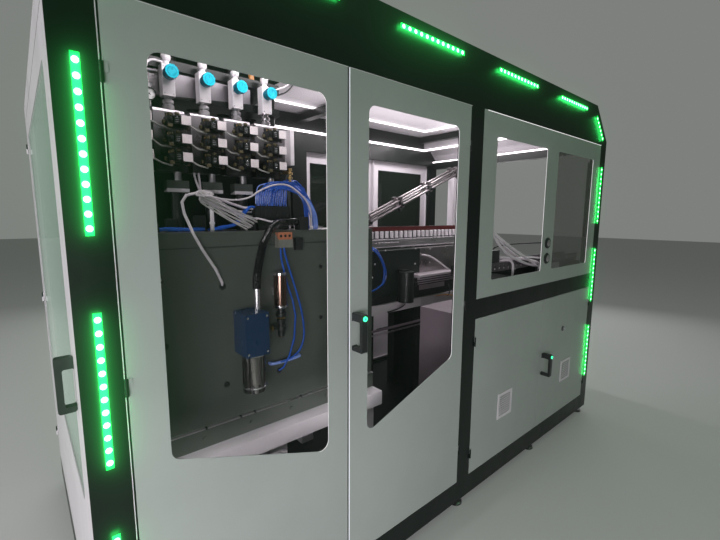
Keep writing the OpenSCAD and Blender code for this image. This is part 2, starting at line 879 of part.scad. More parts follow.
// White cables from the middle column into the tray
cable_r = 6;
cable_z = tray_z + 2 + cable_r;
module white_cables() {
    color(paint_white)
        for (k = [0 : 2]) {
            y = tray_y + 25 + k * 20;
            tube([[right_x0 + lip_w + 0.3, y_front + 45, 1440 + k * 24], [120, y_front + 45, 1438 + k * 24],
                [260, y - 30, 1424 + k * 18], [393, y, 1396 + k * 14], [490, y, 1340 + k * 8],
                [620, y, 1282], [730, y, 1240], [830, y, cable_z + 8], [910, y, cable_z],
                [tray_x[1] - 10, y, cable_z]], cable_r, 8);
        }
}

// Welded bed of the blow station, standing in the floor tray
tray_top = base_top - 12 + sheet_t;
bed_y = [plate_y - 20, rear_plate_y + plate_t + 20];
beam = 80;
beam_h = 92;
ledge_d = 60;
module machine_bed() {
    color(paint_white) {
        for (y = [bed_y[0], bed_y[1] - beam])
            difference() {
                slab([station_x0, y, bed_top - beam_h], [station_x1, y + beam, bed_top]);
                slab([station_x0 - 1, y + 6, bed_top - beam_h + 6], [station_x1 + 1, y + beam - 6, bed_top - 6]);
            }
        for (x = [station_x0, station_mid - beam / 2, station_x1 - beam]) {
            slab([x, bed_y[0] + beam, bed_top - beam_h], [x + beam, bed_y[1] - beam, bed_top]);
            for (y = [bed_y[0], bed_y[1] - beam])
                slab([x, y, tray_top], [x + beam, y + beam, bed_top - beam_h]);
        }
        // Folded ledge along the front of the bed
        slab([station_x0, bed_y[0] - ledge_d, bed_top - 8], [station_x1, bed_y[0], bed_top]);
        slab([station_x0, bed_y[0] - ledge_d, bed_top - 67], [station_x1, bed_y[0] - ledge_d + 8, bed_top - 8]);
    }
}

// Holes of a station plate as X, Z and radius
foot_bar = 74;
hole_x = last_x - 269;
plate_holes = [
    for (z = [plate_low + 400, plate_low + 625]) for (x = [last_x - 474, last_x + 162]) [x, z, 9],
    [last_x - 268, plate_low + 211, 9], [last_x - 49, plate_low + 211, 9], [hole_x, plate_low + 585, 13]
];
// Bored bodies of the drive cylinders that close the mould halves
drive_x = [mould_mid - mould_w / 4, mould_mid + mould_w / 4];
drive_z = mould_z0 + mould_h / 2;
drive_gap = plate_span / 2 - plate_t / 2 - mould_t - platen_t;
mould_open = min(mould_stroke, (drive_gap - 30) / 2);
module drive_body() {
    difference() {
        cylinder(r = drive_r + 10, h = drive_gap - mould_open - 5);
        translate([0, 0, 8])
            cylinder(r = drive_r + run_gap, h = drive_gap);
    }
}
module station_plates() {
    for (y = [plate_y, rear_plate_y])
        color(plate_grey)
            difference() {
                slab([station_x0, y, plate_low], [station_x1, y + plate_t, plate_top]);
                for (h = plate_holes)
                    translate([h[0], y - 1, h[1]])
                        rotate([-90, 0, 0])
                            cylinder(r = h[2], h = plate_t + 2);
            }
    color(alloy)
        for (x = drive_x) {
            translate([x, plate_y + plate_t, drive_z])
                rotate([-90, 0, 0])
                    drive_body();
            translate([x, rear_plate_y, drive_z])
                rotate([90, 0, 0])
                    drive_body();
        }
    // Foot bar of the front plate with its light edge and screws
    color(dark)
        slab([station_x0, plate_y - 12, plate_low], [station_x1, plate_y, plate_low + foot_bar - 4]);
    color(alloy) {
        slab([station_x0, plate_y - 14, plate_low + foot_bar - 4], [station_x1, plate_y, plate_low + foot_bar]);
        for (x = [station_x0 + 60 : 180 : station_x1 - 60])
            translate([x, plate_y - 12, plate_low + foot_bar / 2])
                rotate([90, 0, 0])
                    cylinder(r = 8, h = 6, $fn = 6);
    }
    // Top covers between the plates, clear of the cavity line
    color(steel) {
        slab([station_x0, plate_y + plate_t, plate_top - 14], [station_x1, cavity_y - 110, plate_top]);
        slab([station_x0, cavity_y + 110, plate_top - 14], [station_x1, rear_plate_y, plate_top]);
    }
}

module tie_bars() {
    color(steel)
        for (s = [-1, 1])
            for (z = [tie_low, tie_high])
                translate([mould_mid + s * tie_x, plate_y + plate_t, z])
                    rotate([-90, 0, 0])
                        cylinder(r = tie_r, h = plate_span - plate_t);
}

// Half mould with its platen; side is -1 for the front half and 1 for the rear half
module mould_half(side) {
    y0 = cavity_y + side * 0.2;
    color(steel)
        difference() {
            translate([mould_mid - mould_w / 2, side < 0 ? y0 - mould_t : y0, mould_z0])
                cube([mould_w, mould_t, mould_h]);
            for (k = [0 : cavities - 1])
                translate([first_x + k * pitch, cavity_y, mould_z0 + 30])
                    rotate_extrude()
                        polygon([[0, 0], [30, 0], [35, 6], [35, 190], [31, 215], [31, 235], [14, 285],
                            [14, mould_h], [0, mould_h]]);
        }
    color(plate_grey)
        difference() {
            translate([mould_mid - tie_x - 55, side < 0 ? y0 - mould_t - platen_t : y0 + mould_t, mould_z0 - 10])
                cube([2 * tie_x + 110, platen_t, mould_h + 20]);
            for (s = [-1, 1])
                for (z = [tie_low, tie_high])
                    translate([mould_mid + s * tie_x, y0 + side * (mould_t - 1), z])
                        rotate([-side * 90, 0, 0])
                            cylinder(r = tie_r + 0.05, h = platen_t + 2);
        }
    // Drive rods that run in the cylinders of the station plate
    color(alloy)
        for (x = drive_x)
            translate([x, y0 + side * (mould_t + platen_t), drive_z])
                rotate([-side * 90, 0, 0])
                    cylinder(r = drive_r, h = mould_open + 15);
}
module mould_front() {
    mould_half(-1);
}
module mould_rear() {
    mould_half(1);
}

// Posts and crown beam above the moulds
post_x = [first_x - 42, last_x + 42];
post_y = [cavity_y - 100, cavity_y + 100];
carriage_d = 130;
crown_end = 28;
crown_t = 30;
crown_z = plate_top + stretch_stroke + 290;
top_crown_z = crown_z + 95;
top_crown_t = 32;
module stretch_frame() {
    color(dark) {
        for (x = post_x)
            for (y = post_y) {
                translate([x, y, plate_top])
                    cylinder(r = post_r, h = top_crown_z - plate_top);
                // Foot blocks that carry the posts on the top covers
                translate([x, y, plate_top])
                    cylinder(r = post_r + 8, h = 20);
            }
        difference() {
            slab([post_x[0] - crown_end, cavity_y - carriage_d, crown_z],
                [post_x[1] + crown_end, cavity_y + carriage_d, crown_z + crown_t]);
            for (k = [0 : cavities - 1])
                translate([first_x + k * pitch, cavity_y, crown_z - 1])
                    cylinder(r = 26, h = crown_t + 2);
            for (x = lift_x)
                translate([x, cavity_y + lift_dy, crown_z - 1])
                    cylinder(r = lift_r + run_gap, h = crown_t + 2);
        }
        difference() {
            slab([post_x[0] - crown_end, cavity_y - carriage_d, top_crown_z],
                [post_x[1] + crown_end, cavity_y + carriage_d, top_crown_z + top_crown_t]);
            for (x = lift_x)
                translate([x, cavity_y + lift_dy, top_crown_z - 1])
                    cylinder(r = lift_r + run_gap, h = top_crown_t + 2);
        }
    }
    // Bored air cylinders for the piston rods of the stretch carriage
    color(dark)
        for (x = lift_x)
            translate([x, cavity_y + lift_dy, 0])
                difference() {
                    union() {
                        translate([0, 0, crown_z + crown_t])
                            cylinder(r = 24, h = top_crown_z - crown_z - crown_t);
                        translate([0, 0, top_crown_z + top_crown_t])
                            cylinder(r = 24, h = lift_top + 10 - top_crown_z - top_crown_t);
                    }
                    translate([0, 0, crown_z])
                        cylinder(r = lift_r + run_gap, h = lift_top - crown_z);
                }
    // Light cross bar on the crown, and a fitting on top
    color(alloy)
        slab([post_x[0] - crown_end, cavity_y - carriage_d, crown_z + crown_t],
            [last_x - 60, cavity_y - carriage_d + 10, crown_z + 85]);
    color([0.8, 0.5, 0.28])
        translate([last_x - 43, cavity_y - carriage_d + 20, top_crown_z + top_crown_t])
            cylinder(r = 11, h = 37);
}

// Carriage with one stretch rod above each cavity, guided by the posts
lift_x = [first_x + pitch / 2, last_x - pitch / 2];
lift_dy = 60;
lift_r = 9;
car_t = 24;
car_z = plate_top + stretch_stroke + 200;
lift_len = crown_z - car_z - car_t + stretch_stroke + 9;
lift_top = car_z + car_t + lift_len + 2;
module stretch_carriage() {
    color(steel)
        difference() {
            slab([post_x[0] - crown_end, cavity_y - carriage_d, car_z],
                [post_x[1] + crown_end, cavity_y + carriage_d, car_z + car_t]);
            for (x = post_x)
                for (y = post_y)
                    translate([x, y, car_z - 1])
                        cylinder(r = post_r + 0.05, h = car_t + 2);
        }
    color(alloy) {
        for (k = [0 : cavities - 1])
            translate([first_x + k * pitch, cavity_y, car_z - stretch_stroke - 40])
                cylinder(r = rod_r, h = stretch_stroke + 41);
        // Piston rods that reach up into the air cylinders
        for (x = lift_x)
            translate([x, cavity_y + lift_dy, car_z + car_t - 1])
                cylinder(r = lift_r, h = lift_len);
    }
}

// Valve columns: one more than there are cavities
columns = cavities + 1;
function column_x(k) = last_x - (columns - 1 - k) * pitch;
row_z = [for (r = [0 : valve_rows - 1]) valve_z + (1 - r) * row_pitch];
manifold_t = 46;
carrier_y = manifold_y + 58;
manifold_low = row_z[valve_rows - 1] - 44;
manifold_high = row_z[0] + 44;
nozzle_z = manifold_low - 70;
module valve_manifold() {
    color(alloy) {
        for (k = [0 : columns - 1])
            difference() {
                crosswise(column_x(k) - 75, 101)
                    polygon([[manifold_y, manifold_low], [manifold_y + manifold_t, manifold_low],
                        [manifold_y + manifold_t, manifold_high], [manifold_y + 8, manifold_high],
                        [manifold_y + 2, manifold_high - 3], [manifold_y, manifold_high - 10]]);
                for (z = row_z)
                    translate([column_x(k) + 36, manifold_y + 12, z - 8])
                        rotate([0, -90, 0])
                            cylinder(r = 5, h = 24);
            }
        // Carrier plate and posts down to the station top
        slab([column_x(0) - 75, manifold_y + manifold_t, manifold_low],
            [column_x(columns - 1) + 112, carrier_y, manifold_high]);
        for (x = [column_x(0) - 75, column_x(columns - 1) + 82])
            slab([x, manifold_y + manifold_t, plate_top], [x + 30, carrier_y, manifold_low]);
    }
    // White riser at the end of the row
    color(paint_white)
        slab([column_x(columns - 1) + 84, manifold_y, valve_z - 44],
            [column_x(columns - 1) + 102, manifold_y + manifold_t, valve_z + 100]);
    // Blow nozzle cylinders under the columns, each with a plate that has a white lower edge
    for (k = [0 : columns - 1])
        translate([column_x(k) - 5, manifold_y, 0]) {
            color(dark)
                slab([-37, 4, nozzle_z + 12], [37, 54, nozzle_z + 40]);
            color(paint_white)
                slab([-37, 2, nozzle_z], [37, 54, nozzle_z + 12]);
            color(dark)
                translate([0, 29, plate_top])
                    cylinder(r = 22, h = nozzle_z - plate_top);
            color(steel)
                translate([6, 24, nozzle_z + 40])
                    cylinder(r = 13, h = manifold_low - nozzle_z - 40);
        }
}

// Solenoid valve: body, armature tube and coil with a plug
module solenoid(x, z) {
    color(dark) {
        slab([x - 24, manifold_y - 26, z - 20], [x + 22, manifold_y, z + 6]);
        slab([x - 24, manifold_y - 54, z - 14], [x - 24 + coil, manifold_y - 26, z + 14]);
        slab([x - 4, manifold_y - 62, z - 15], [x + 28, manifold_y - 26, z + 15]);
    }
    color([0.8, 0.62, 0.3])
        translate([x - 14, manifold_y - 13, z + 6])
            cylinder(r = 6, h = 12);
}
module solenoid_valves() {
    for (k = [0 : columns - 1])
        for (z = row_z)
            solenoid(column_x(k), z);
}

// Regulator: collar, square body and a domed bonnet
reg_z = manifold_high;
reg_y = manifold_y + 22;
reg_body = 102;
collar_h = 43;
knob_z = reg_z + 112;
stub_l = 12;
module regulators() {
    for (k = [1 : columns - 1])
        translate([column_x(k) - 18, reg_y, 0]) {
            color(alloy)
                translate([0, 0, reg_z])
                    rotate_extrude()
                        polygon([[0, 0], [19, 0], [19, 14], [16, 17], [13, 17], [13, 21], [17, 21], [18, 24],
                            [18, 31], [15, 33], [12, 33], [12, collar_h], [0, collar_h]]);
            color(paint_white) {
                slab([-20, -20, reg_z + collar_h], [20, 20, reg_z + collar_h + reg_body]);
                translate([0, 0, reg_z + collar_h + reg_body])
                    rotate_extrude()
                        polygon([[0, 0], [15, 0], [15, 5], [10, 7], [9, 13], [13, 17], [15.5, 23], [16, 29],
                            [14.5, 36], [10, 41], [5, 43.5], [0, 44]]);
            }
            color(steel)
                translate([0, -20, knob_z])
                    rotate([90, 0, 0])
                        cylinder(r = 9, h = stub_l);
        }
}
// Knurled regulator knob on its stub
module knob(k) {
    color(cyan)
        translate([column_x(k) - 18, reg_y - 20, knob_z])
            rotate([90, 0, 0])
                difference() {
                    union() {
                        translate([0, 0, 6])
                            cylinder(r = knob_r - 2, h = 16);
                        translate([0, 0, 22])
                            cylinder(r = knob_r, h = 22);
                    }
                    translate([0, 0, -1])
                        cylinder(r = 9.05, h = stub_l + 1 + run_gap);
                    for (a = [0 : 30 : 330])
                        rotate(a)
                            translate([knob_r + 1, 0, 21])
                                cylinder(r = 2.4, h = 24, $fn = 16);
                }
}
module knob_1() {
    knob(1);
}
module knob_2() {
    knob(2);
}
module knob_3() {
    knob(3);
}
module knob_4() {
    knob(4);
}
module pressure_gauge() {
    translate([column_x(0) + 41, manifold_y + 10, manifold_high]) {
        // Elbow from the first column
        color(steel) {
            translate([0, 0, 6])
                rotate([0, -90, 0])
                    cylinder(r = 6, h = 34);
            translate([-30, 0, 0])
                cylinder(r = 9, h = 14);
            cylinder(r = 6, h = 22);
        }
        color(dark)
            translate([0, 0, 39])
                rotate([90, 0, 0])
                    rotate_extrude()
                        polygon([[0, -10], [19, -10], [20.5, -7], [20.5, 10], [18, 10], [18, 7], [0, 7]]);
    }
}

// Valve terminal on the station top, its fittings and the push-in connectors on the plate
term_x = last_x - 107;
term_w = 150;
term_y = [plate_y + 50, plate_y + 98];
term_z = plate_top + 42;
term_top = term_z + 53;
fit_h = 12;
fit_x = [for (k = [0 : 2]) term_x + 75 + k * 22];
drop_x = [for (k = [0 : 2]) last_x + 128 + k * 16];
line_y = plate_y + 74;
port_low = [last_x - 37, plate_y - 14, plate_top - 67];
module air_connectors() {
    color(dark) {
        slab([term_x + 10, term_y[0], plate_top], [term_x + term_w - 10, term_y[1], term_z]);
        slab([term_x, term_y[0], term_z], [term_x + term_w, term_y[1], term_top]);
        for (k = [0 : 2]) {
            translate([fit_x[k], arch_y[k], term_top])
                cylinder(r = 8, h = fit_h);
            translate([drop_x[k], arch_y[k], plate_top])
                cylinder(r = 7, h = fit_h);
        }
    }
    color([0.85, 0.45, 0.25])
        slab([last_x - 53, plate_y - 26, plate_top - 35], [last_x + 9, plate_y, plate_top - 8]);
    color([0.7, 0.68, 0.6])
        slab([last_x - 53, plate_y - 30, port_low[2]], [last_x + 9, plate_y, plate_top - 35]);
}

// Blue tubes arch from the terminal to the station top, and one runs down the plate into a hole
arch_y = [for (k = [0 : 2]) line_y + (k - 1) * 14];
arch_routes = [for (k = [0 : 2]) let (y = arch_y[k]) [
    [fit_x[k], y, term_top + fit_h + 0.3], [fit_x[k], y, term_top + fit_h + 30],
    [fit_x[k] + 14, y, term_top + 76 + k * 5], [fit_x[k] + 46, y, term_top + 96 + k * 6],
    [fit_x[k] + 90, y, term_top + 94 + k * 6], [fit_x[k] + 128, y, term_top + 68 + k * 4],
    [drop_x[k] - 6, y, term_top + 10], [drop_x[k], y, plate_top + 40],
    [drop_x[k], y, plate_top + fit_h + 0.3]]];
drop_route = [
    port_low + [0, 0, -0.3], port_low + [0, 0, -30], [last_x - 36, plate_y - 20, plate_low + 660],
    [last_x - 17, plate_y - 26, plate_low + 566], [last_x + 4, plate_y - 28, plate_low + 502],
    [last_x + 15, plate_y - 30, plate_low + 438], [last_x + 7, plate_y - 30, plate_low + 343],
    [last_x - 16, plate_y - 28, plate_low + 272], [last_x - 38, plate_y - 18, plate_low + 226],
    [last_x - 48, plate_y - 4, plate_low + 213], [last_x - 49, plate_y + 14, plate_low + 211]
];
// White leads from the terminal: two up to the manifold and one down the plate into the big hole
lead_routes = [for (k = [0, 1]) let (y = line_y + 3 + k * 9) [
    [term_x - 0.3, y, term_z + 14 + k * 14], [term_x - 30, y, term_z + 14 + k * 14],
    [term_x - 80, y, term_z + 22 + k * 14], [term_x - 130, y, term_z + 48 + k * 12],
    [term_x - 180, y, term_z + 80 + k * 8], [term_x - 198 + k * 6, y + 8, term_z + 104 + k * 6],
    [term_x - 206 + k * 12, manifold_y - 10, term_z + 134],
    [term_x - 206 + k * 16, manifold_y + 8, manifold_low - 10],
    [term_x - 206 + k * 16, manifold_y + 8, manifold_low - 0.3]]];
loop_route = [
    [term_x - 0.3, line_y, term_z + 42], [term_x - 40, line_y - 2, term_z + 45],
    [term_x - 91, line_y - 10, term_z + 59], [term_x - 141, line_y - 20, term_z + 75],
    [term_x - 191, line_y - 30, term_z + 86], [hole_x - 69, plate_y + 36, plate_top + 133],
    [hole_x - 101, plate_y + 28, plate_top + 125], [hole_x - 118, plate_y + 22, plate_top + 101],
    [hole_x - 115, plate_y + 12, plate_top + 62], [hole_x - 98, plate_y - 16, plate_top - 5],
    [hole_x - 75, plate_y - 24, plate_top - 56], [hole_x - 29, plate_y - 20, plate_low + 650],
    [hole_x - 4, plate_y - 8, plate_low + 600], [hole_x, plate_y + 5, plate_low + 586],
    [hole_x, plate_y + 16, plate_low + 585]
];
module air_lines() {
    color([0.2, 0.35, 0.85]) {
        for (r = arch_routes)
            tube(r, 4);
        tube(drop_route, 4, 8, [1, 0, 0]);
    }
    color(paint_white) {
        for (r = lead_routes)
            tube(r, 4);
        tube(loop_route, 5, 8, [1, 0.1, 0.02]);
    }
}

// Exhaust valve in front of the plate, with its ferrule for the hose
ex = [last_x - 188, plate_y - 60, plate_low + 332];
ex_h = 158;
ferrule = [ex[0] + 25, plate_y - 55, ex[2] + ex_h];
ferrule_h = 82;
// Thick hose from a fitting on the station top, over the plate edge and down to the valve
hose_start = [last_x + 62, plate_y + 20, plate_top + 32];
hose_route = [
    hose_start + [-0.3, 0, 0], hose_start + [-30, 0, 0], hose_start + [-70, -6, 1],
    hose_start + [-105, -20, -3], hose_start + [-148, -42, -28], hose_start + [-186, -60, -78], hose_start + [-208, -70, -137],
    hose_start + [-222, -75, -187], [ferrule[0], ferrule[1], ferrule[2] + ferrule_h + 30],
    [ferrule[0], ferrule[1], ferrule[2] + ferrule_h + 0.3]
];
module recovery_hose() {
    color(dark)
        tube(hose_route, hose_r, 12);
}
module exhaust_valve() {
    color([0.08, 0.2, 0.45])
        slab([ex[0] - 45, ex[1] - 45, ex[2]], [ex[0] + 45, plate_y, ex[2] + ex_h]);
    color(steel) {
        translate(ferrule)
            cylinder(r = 12, h = ferrule_h);
        // Fitting block at the other end of the hose
        slab([hose_start[0], hose_start[1] - 22, plate_top],
            [hose_start[0] + 40, hose_start[1] + 22, hose_start[2] + 20]);
    }
}
silencer_h = 143;
module exhaust_silencer() {
    color(alloy)
        translate([ex[0] + 2, ex[1], ex[2] - silencer_h])
            difference() {
                cylinder(r = 43, h = silencer_h);
                for (a = [0 : 30 : 330])
                    rotate(a)
                        translate([39, -3, 30])
                            cube([8, 6, silencer_h - 50]);
            }
}
filter_at = [last_x - 57, plate_y - 40, plate_low + 487];
module air_filter() {
    translate(filter_at) {
        color(steel)
            cylinder(r = 25, h = 133);
        color([0.45, 0.33, 0.2])
            translate([0, 0, -120])
                cylinder(r = 13, h = 120);
        color(steel)
            slab([-12, 20, 40], [12, 40, 70]);
    }
}

// Rail of the preform conveyor with its guard strip
rail_half = 40;
guard_z = rail_z + mandrel_h;
module chain_rail() {
    color(alloy) {
        slab([conv_x0, conv_y - rail_half, rail_z - rail_h], [conv_x1, conv_y + rail_half, rail_z]);
        for (x = [conv_x0 + 60, conv_x0 + 460, oven_x[0] + 20, conv_x1 - 100])
            slab([x, conv_y - 25, x < oven_x[0] ? oven_top : channel_z], [x + 40, conv_y + 25, rail_z - rail_h]);
        slab([conv_x0, conv_y + rail_half - 4, rail_z], [conv_x1, conv_y + rail_half, rail_z + mandrel_h]);
        slab([conv_x0, conv_y + 16, guard_z + 20], [conv_x1, conv_y + rail_half, guard_z + 34]);
    }
    color([0.35, 0.08, 0.09])
        slab([conv_x0, conv_y + 16, guard_z], [conv_x1, conv_y + rail_half, guard_z + 20]);
}
module mandrels() {
    color(paint_white)
        for (k = [0 : mandrel_count - 1])
            translate([conv_x0 + 30 + k * mandrel_pitch, conv_y, rail_z])
                rotate_extrude()
                    polygon([[0, 0], [mandrel_r + 3, 0], [mandrel_r + 3, 5], [mandrel_r, 6],
                        [mandrel_r, mandrel_h - 3], [mandrel_r - 3, mandrel_h], [0, mandrel_h]]);
}

// Sloping chute of four rods held by clamps, on a post that stands on the oven wall
chute_at = [right_x0 + 119, conv_y + rail_half + 48, rail_z + 67];
chute_len = 1280;
clamp_half = 46;
chute_post_x = oven_x[1] - 126;
clamp_x = (chute_post_x + 30 - chute_at[0]) / cos(chute_angle) - 13;
module infeed_chute() {
    translate(chute_at)
        rotate([0, -chute_angle, 0]) {
            color(steel)
                for (y = [-32, 32])
                    for (z = [0, 40])
                        translate([0, y, z])
                            rotate([0, 90, 0])
                                cylinder(r = chute_rod_r, h = chute_len);
            color(alloy)
                for (x = [120, 480, 840, clamp_x])
                    difference() {
                        translate([x, -clamp_half, -20])
                            cube([26, 2 * clamp_half, 86]);
                        translate([x - 1, -18, -2])
                            cube([28, 36, 70]);
                    }
        }
    color(paint_white) {
        post_top = chute_at[2] + (chute_post_x - chute_at[0]) * tan(chute_angle);
        slab([chute_post_x, chute_at[1] - 30, oven_top], [chute_post_x + 60, chute_at[1] + 30, post_top]);
        // Gusset at the foot of the post
        translate([chute_post_x, chute_at[1] + 5, oven_top])
            rotate([90, 0, 0])
                linear_extrude(10)
                    polygon([[0, 0], [-90, 0], [0, 120]]);
    }
}

deck_x = [oven_x[0] - 113, oven_x[0] + 310];
deck_z = oven_low + 137;
deck_d = 105;
deck_h = 92;
deck_steps = 4;
module oven_body() {
    color(steel)
        difference() {
            slab([oven_x[0], oven_y[0], oven_low], [oven_x[1], oven_y[1], oven_top]);
            slab([oven_x[0] - 1, conv_y - 60, channel_z], [oven_x[1] + 1, conv_y + 60, oven_top + 1]);
        }
    // Stepped deck along the front with a light ledge on top
    color(alloy)
        crosswise(deck_x[0], deck_x[1] - deck_x[0])
            polygon([for (k = [0 : deck_steps - 1]) for (e = [k, k + 1])
                [oven_y[0] - 1 - deck_d * (k + 1) / deck_steps, deck_z + (e - deck_steps) * deck_h / deck_steps],
                [oven_y[0] - 1, deck_z], [oven_y[0] - 1, deck_z - deck_h]]);
    color(alloy)
        slab([oven_x[0] + 40, oven_y[0] - 1, deck_z - deck_h], [deck_x[1], oven_y[0], deck_z]);
    color(paint_black)
        for (x = [oven_x[0] + 30, oven_x[1] - 90])
            slab([x, oven_y[0] + 10, tray_top], [x + 60, oven_y[1] - 10, oven_low]);
}

// Dark drive housing at the start of the conveyor, with a motor on its front, on a white beam with black legs
motor_x = conv_x0 + 340;
motor_y = oven_y[0] - 70;
motor_r = 55;
motor_z = [oven_low - 48, oven_low + 172];
box_low = oven_low - 53;
box_x1 = oven_x[0] - 1;
under_y = [oven_y[0] - 22, oven_y[0] + 58];
module drive_box() {
    color([0.09, 0.13, 0.11])
        slab([conv_x0, oven_y[0], box_low], [box_x1, oven_y[1], oven_top]);
    color(dark) {
        translate([motor_x, motor_y, motor_z[0]])
            cylinder(r = motor_r, h = motor_z[1] - motor_z[0]);
        slab([motor_x - 30, motor_y, motor_z[1]], [motor_x + 30, oven_y[0], motor_z[1] + 12]);
        slab([motor_x - 30, motor_y + motor_r - 10, motor_z[0]], [motor_x + 30, oven_y[0], motor_z[0] + 30]);
    }
    color(paint_white)
        slab([conv_x0, under_y[0], box_low - 65], [box_x1, under_y[1], box_low]);
    color(paint_black)
        for (x = [conv_x0, box_x1 - 70])
            for (y = [under_y[0], oven_y[1] - 70])
                slab([x, y, tray_top], [x + 70, y + 70, y == under_y[0] ? box_low - 65 : box_low]);
    // Light edge of the tray between the legs
    color(alloy)
        slab([conv_x0, under_y[0] - 14, box_low - 180], [box_x1, under_y[0], box_low - 162]);
}

base_frame();
levelling_feet();
front_frame();
rear_frame();
roof_cover();
right_end_panel();
rear_panel();
led_bars();
work_lights();
control_panel();
smoked_pane();
start_button();
stop_button();
front_door_left();
front_pane_left();
front_door_right();
front_pane_right();
front_handle();
front_button();
cabinet_door_left();
cabinet_door_right();
cabinet_handle();
cabinet_button();
cam_lock();
rear_door_left();
rear_pane_left();
rear_door_right();
rear_pane_right();
end_door();
end_pane();
end_handle();
electrical_box();
cable_tray();
white_cables();
machine_bed();
station_plates();
tie_bars();
mould_front();
mould_rear();
stretch_frame();
stretch_carriage();
valve_manifold();
solenoid_valves();
regulators();
knob_1();
knob_2();
knob_3();
knob_4();
pressure_gauge();
air_connectors();
air_lines();
recovery_hose();
exhaust_valve();
exhaust_silencer();
air_filter();
chain_rail();
mandrels();
infeed_chute();
oven_body();
drive_box();
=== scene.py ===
import math

import bmesh
import bpy
from mathutils import Matrix, Vector


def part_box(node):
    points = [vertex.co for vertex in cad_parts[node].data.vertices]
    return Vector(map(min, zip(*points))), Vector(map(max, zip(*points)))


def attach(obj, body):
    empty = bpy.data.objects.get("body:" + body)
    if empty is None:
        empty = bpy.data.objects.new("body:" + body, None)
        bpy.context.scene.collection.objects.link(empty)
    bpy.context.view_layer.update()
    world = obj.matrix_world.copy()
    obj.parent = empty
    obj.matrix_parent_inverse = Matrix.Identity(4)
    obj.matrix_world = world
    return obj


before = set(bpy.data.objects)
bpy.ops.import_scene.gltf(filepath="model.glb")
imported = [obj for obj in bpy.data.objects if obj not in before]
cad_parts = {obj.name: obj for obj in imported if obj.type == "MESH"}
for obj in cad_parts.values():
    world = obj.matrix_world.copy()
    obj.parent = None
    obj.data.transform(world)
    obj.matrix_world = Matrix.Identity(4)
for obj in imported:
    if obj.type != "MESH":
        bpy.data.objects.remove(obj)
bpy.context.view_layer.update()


# Camera at the photograph's viewpoint, solved from the straight edges of the enclosure
EYE = (-1.679, -1.903, 1.5155)
YAW, PITCH, ROLL = 40.607, 7.827, 0.274
LENS, SENSOR = 19.94, 36.0


def look(yaw, pitch, roll):
    """Rotation of a camera that looks along +Y when all three angles are 0."""
    y, p, r = (math.radians(v) for v in (yaw, pitch, roll))
    fwd = Vector((math.sin(y) * math.cos(p), math.cos(y) * math.cos(p), -math.sin(p)))
    right = Vector((math.cos(y), -math.sin(y), 0.0))
    up = right.cross(fwd)
    rolled_right = math.cos(r) * right + math.sin(r) * up
    rolled_up = -math.sin(r) * right + math.cos(r) * up
    return Matrix((rolled_right, rolled_up, -fwd)).transposed().to_4x4()


cam_data = bpy.data.cameras.new("camera")
cam_data.lens = LENS
cam_data.sensor_width = SENSOR
cam_data.clip_start = 0.05
camera = bpy.data.objects.new("camera", cam_data)
bpy.context.scene.collection.objects.link(camera)
camera.matrix_world = Matrix.Translation(EYE) @ look(YAW, PITCH, ROLL)
bpy.context.scene.camera = camera


# Materials
class Nodes:
    """Small helper around a material's node tree."""

    def __init__(self, name):
        self.mat = bpy.data.materials.new(name)
        self.mat.use_nodes = True
        self.tree = self.mat.node_tree
        self.bsdf = self.tree.nodes["Principled BSDF"]

    def add(self, kind, **values):
        """New node; each value goes to the input of that name, or else to the property."""
        n = self.tree.nodes.new(kind)
        for k, v in values.items():
            if k in n.inputs:
                n.inputs[k].default_value = v
            else:
                setattr(n, k, v)
        return n

    def link(self, a, b):
        self.tree.links.new(a, b)

    def set(self, **values):
        """Constant values on the shader's own inputs."""
        for k, v in values.items():
            self.bsdf.inputs[k.replace("_", " ")].default_value = v

    def drive(self, **sources):
        """Sockets that feed the shader's inputs."""
        for k, v in sources.items():
            self.link(v, self.bsdf.inputs[k.replace("_", " ")])

    def coords(self, scale=(1, 1, 1)):
        mp = self.add("ShaderNodeMapping", Scale=scale)
        self.link(self.add("ShaderNodeTexCoord").outputs["Object"], mp.inputs["Vector"])
        return mp.outputs["Vector"]

    def height(self):
        split = self.add("ShaderNodeSeparateXYZ")
        self.link(self.add("ShaderNodeTexCoord").outputs["Object"], split.inputs["Vector"])
        return split.outputs["Z"]

    def total(self, a, b):
        m = self.add("ShaderNodeMath", operation="ADD")
        self.link(a, m.inputs[0])
        self.link(b, m.inputs[1])
        return m.outputs["Value"]

    def noise(self, scale, detail=3.0, rough=0.5, stretch=(1, 1, 1)):
        n = self.add("ShaderNodeTexNoise", Scale=scale, Detail=detail, Roughness=rough)
        self.link(self.coords(stretch), n.inputs["Vector"])
        return n.outputs["Fac"]

    def ramp(self, fac, *stops):
        """Colour ramp; each stop is (position, colour)."""
        r = self.add("ShaderNodeValToRGB")
        el = r.color_ramp.elements
        while len(el) < len(stops):
            el.new(0.5)
        for e, (pos, col) in zip(el, stops):
            e.position = pos
            e.color = (*col, 1)
        self.link(fac, r.inputs["Fac"])
        return r.outputs["Color"]

    def span(self, fac, a, b, low=0.3, high=0.7):
        """A value that runs from a to b while fac runs from low to high."""
        m = self.add("ShaderNodeMapRange")
        for k, v in (("From Min", low), ("From Max", high), ("To Min", a), ("To Max", b)):
            m.inputs[k].default_value = v
        self.link(fac, m.inputs["Value"])
        return m.outputs["Result"]

    def bump(self, height, strength, distance=0.001):
        b = self.add("ShaderNodeBump", Strength=strength, Distance=distance)
        self.link(height, b.inputs["Height"])
        self.drive(Normal=b.outputs["Normal"])


def shade(c, k):
    return tuple(min(1.0, v * k) for v in c)


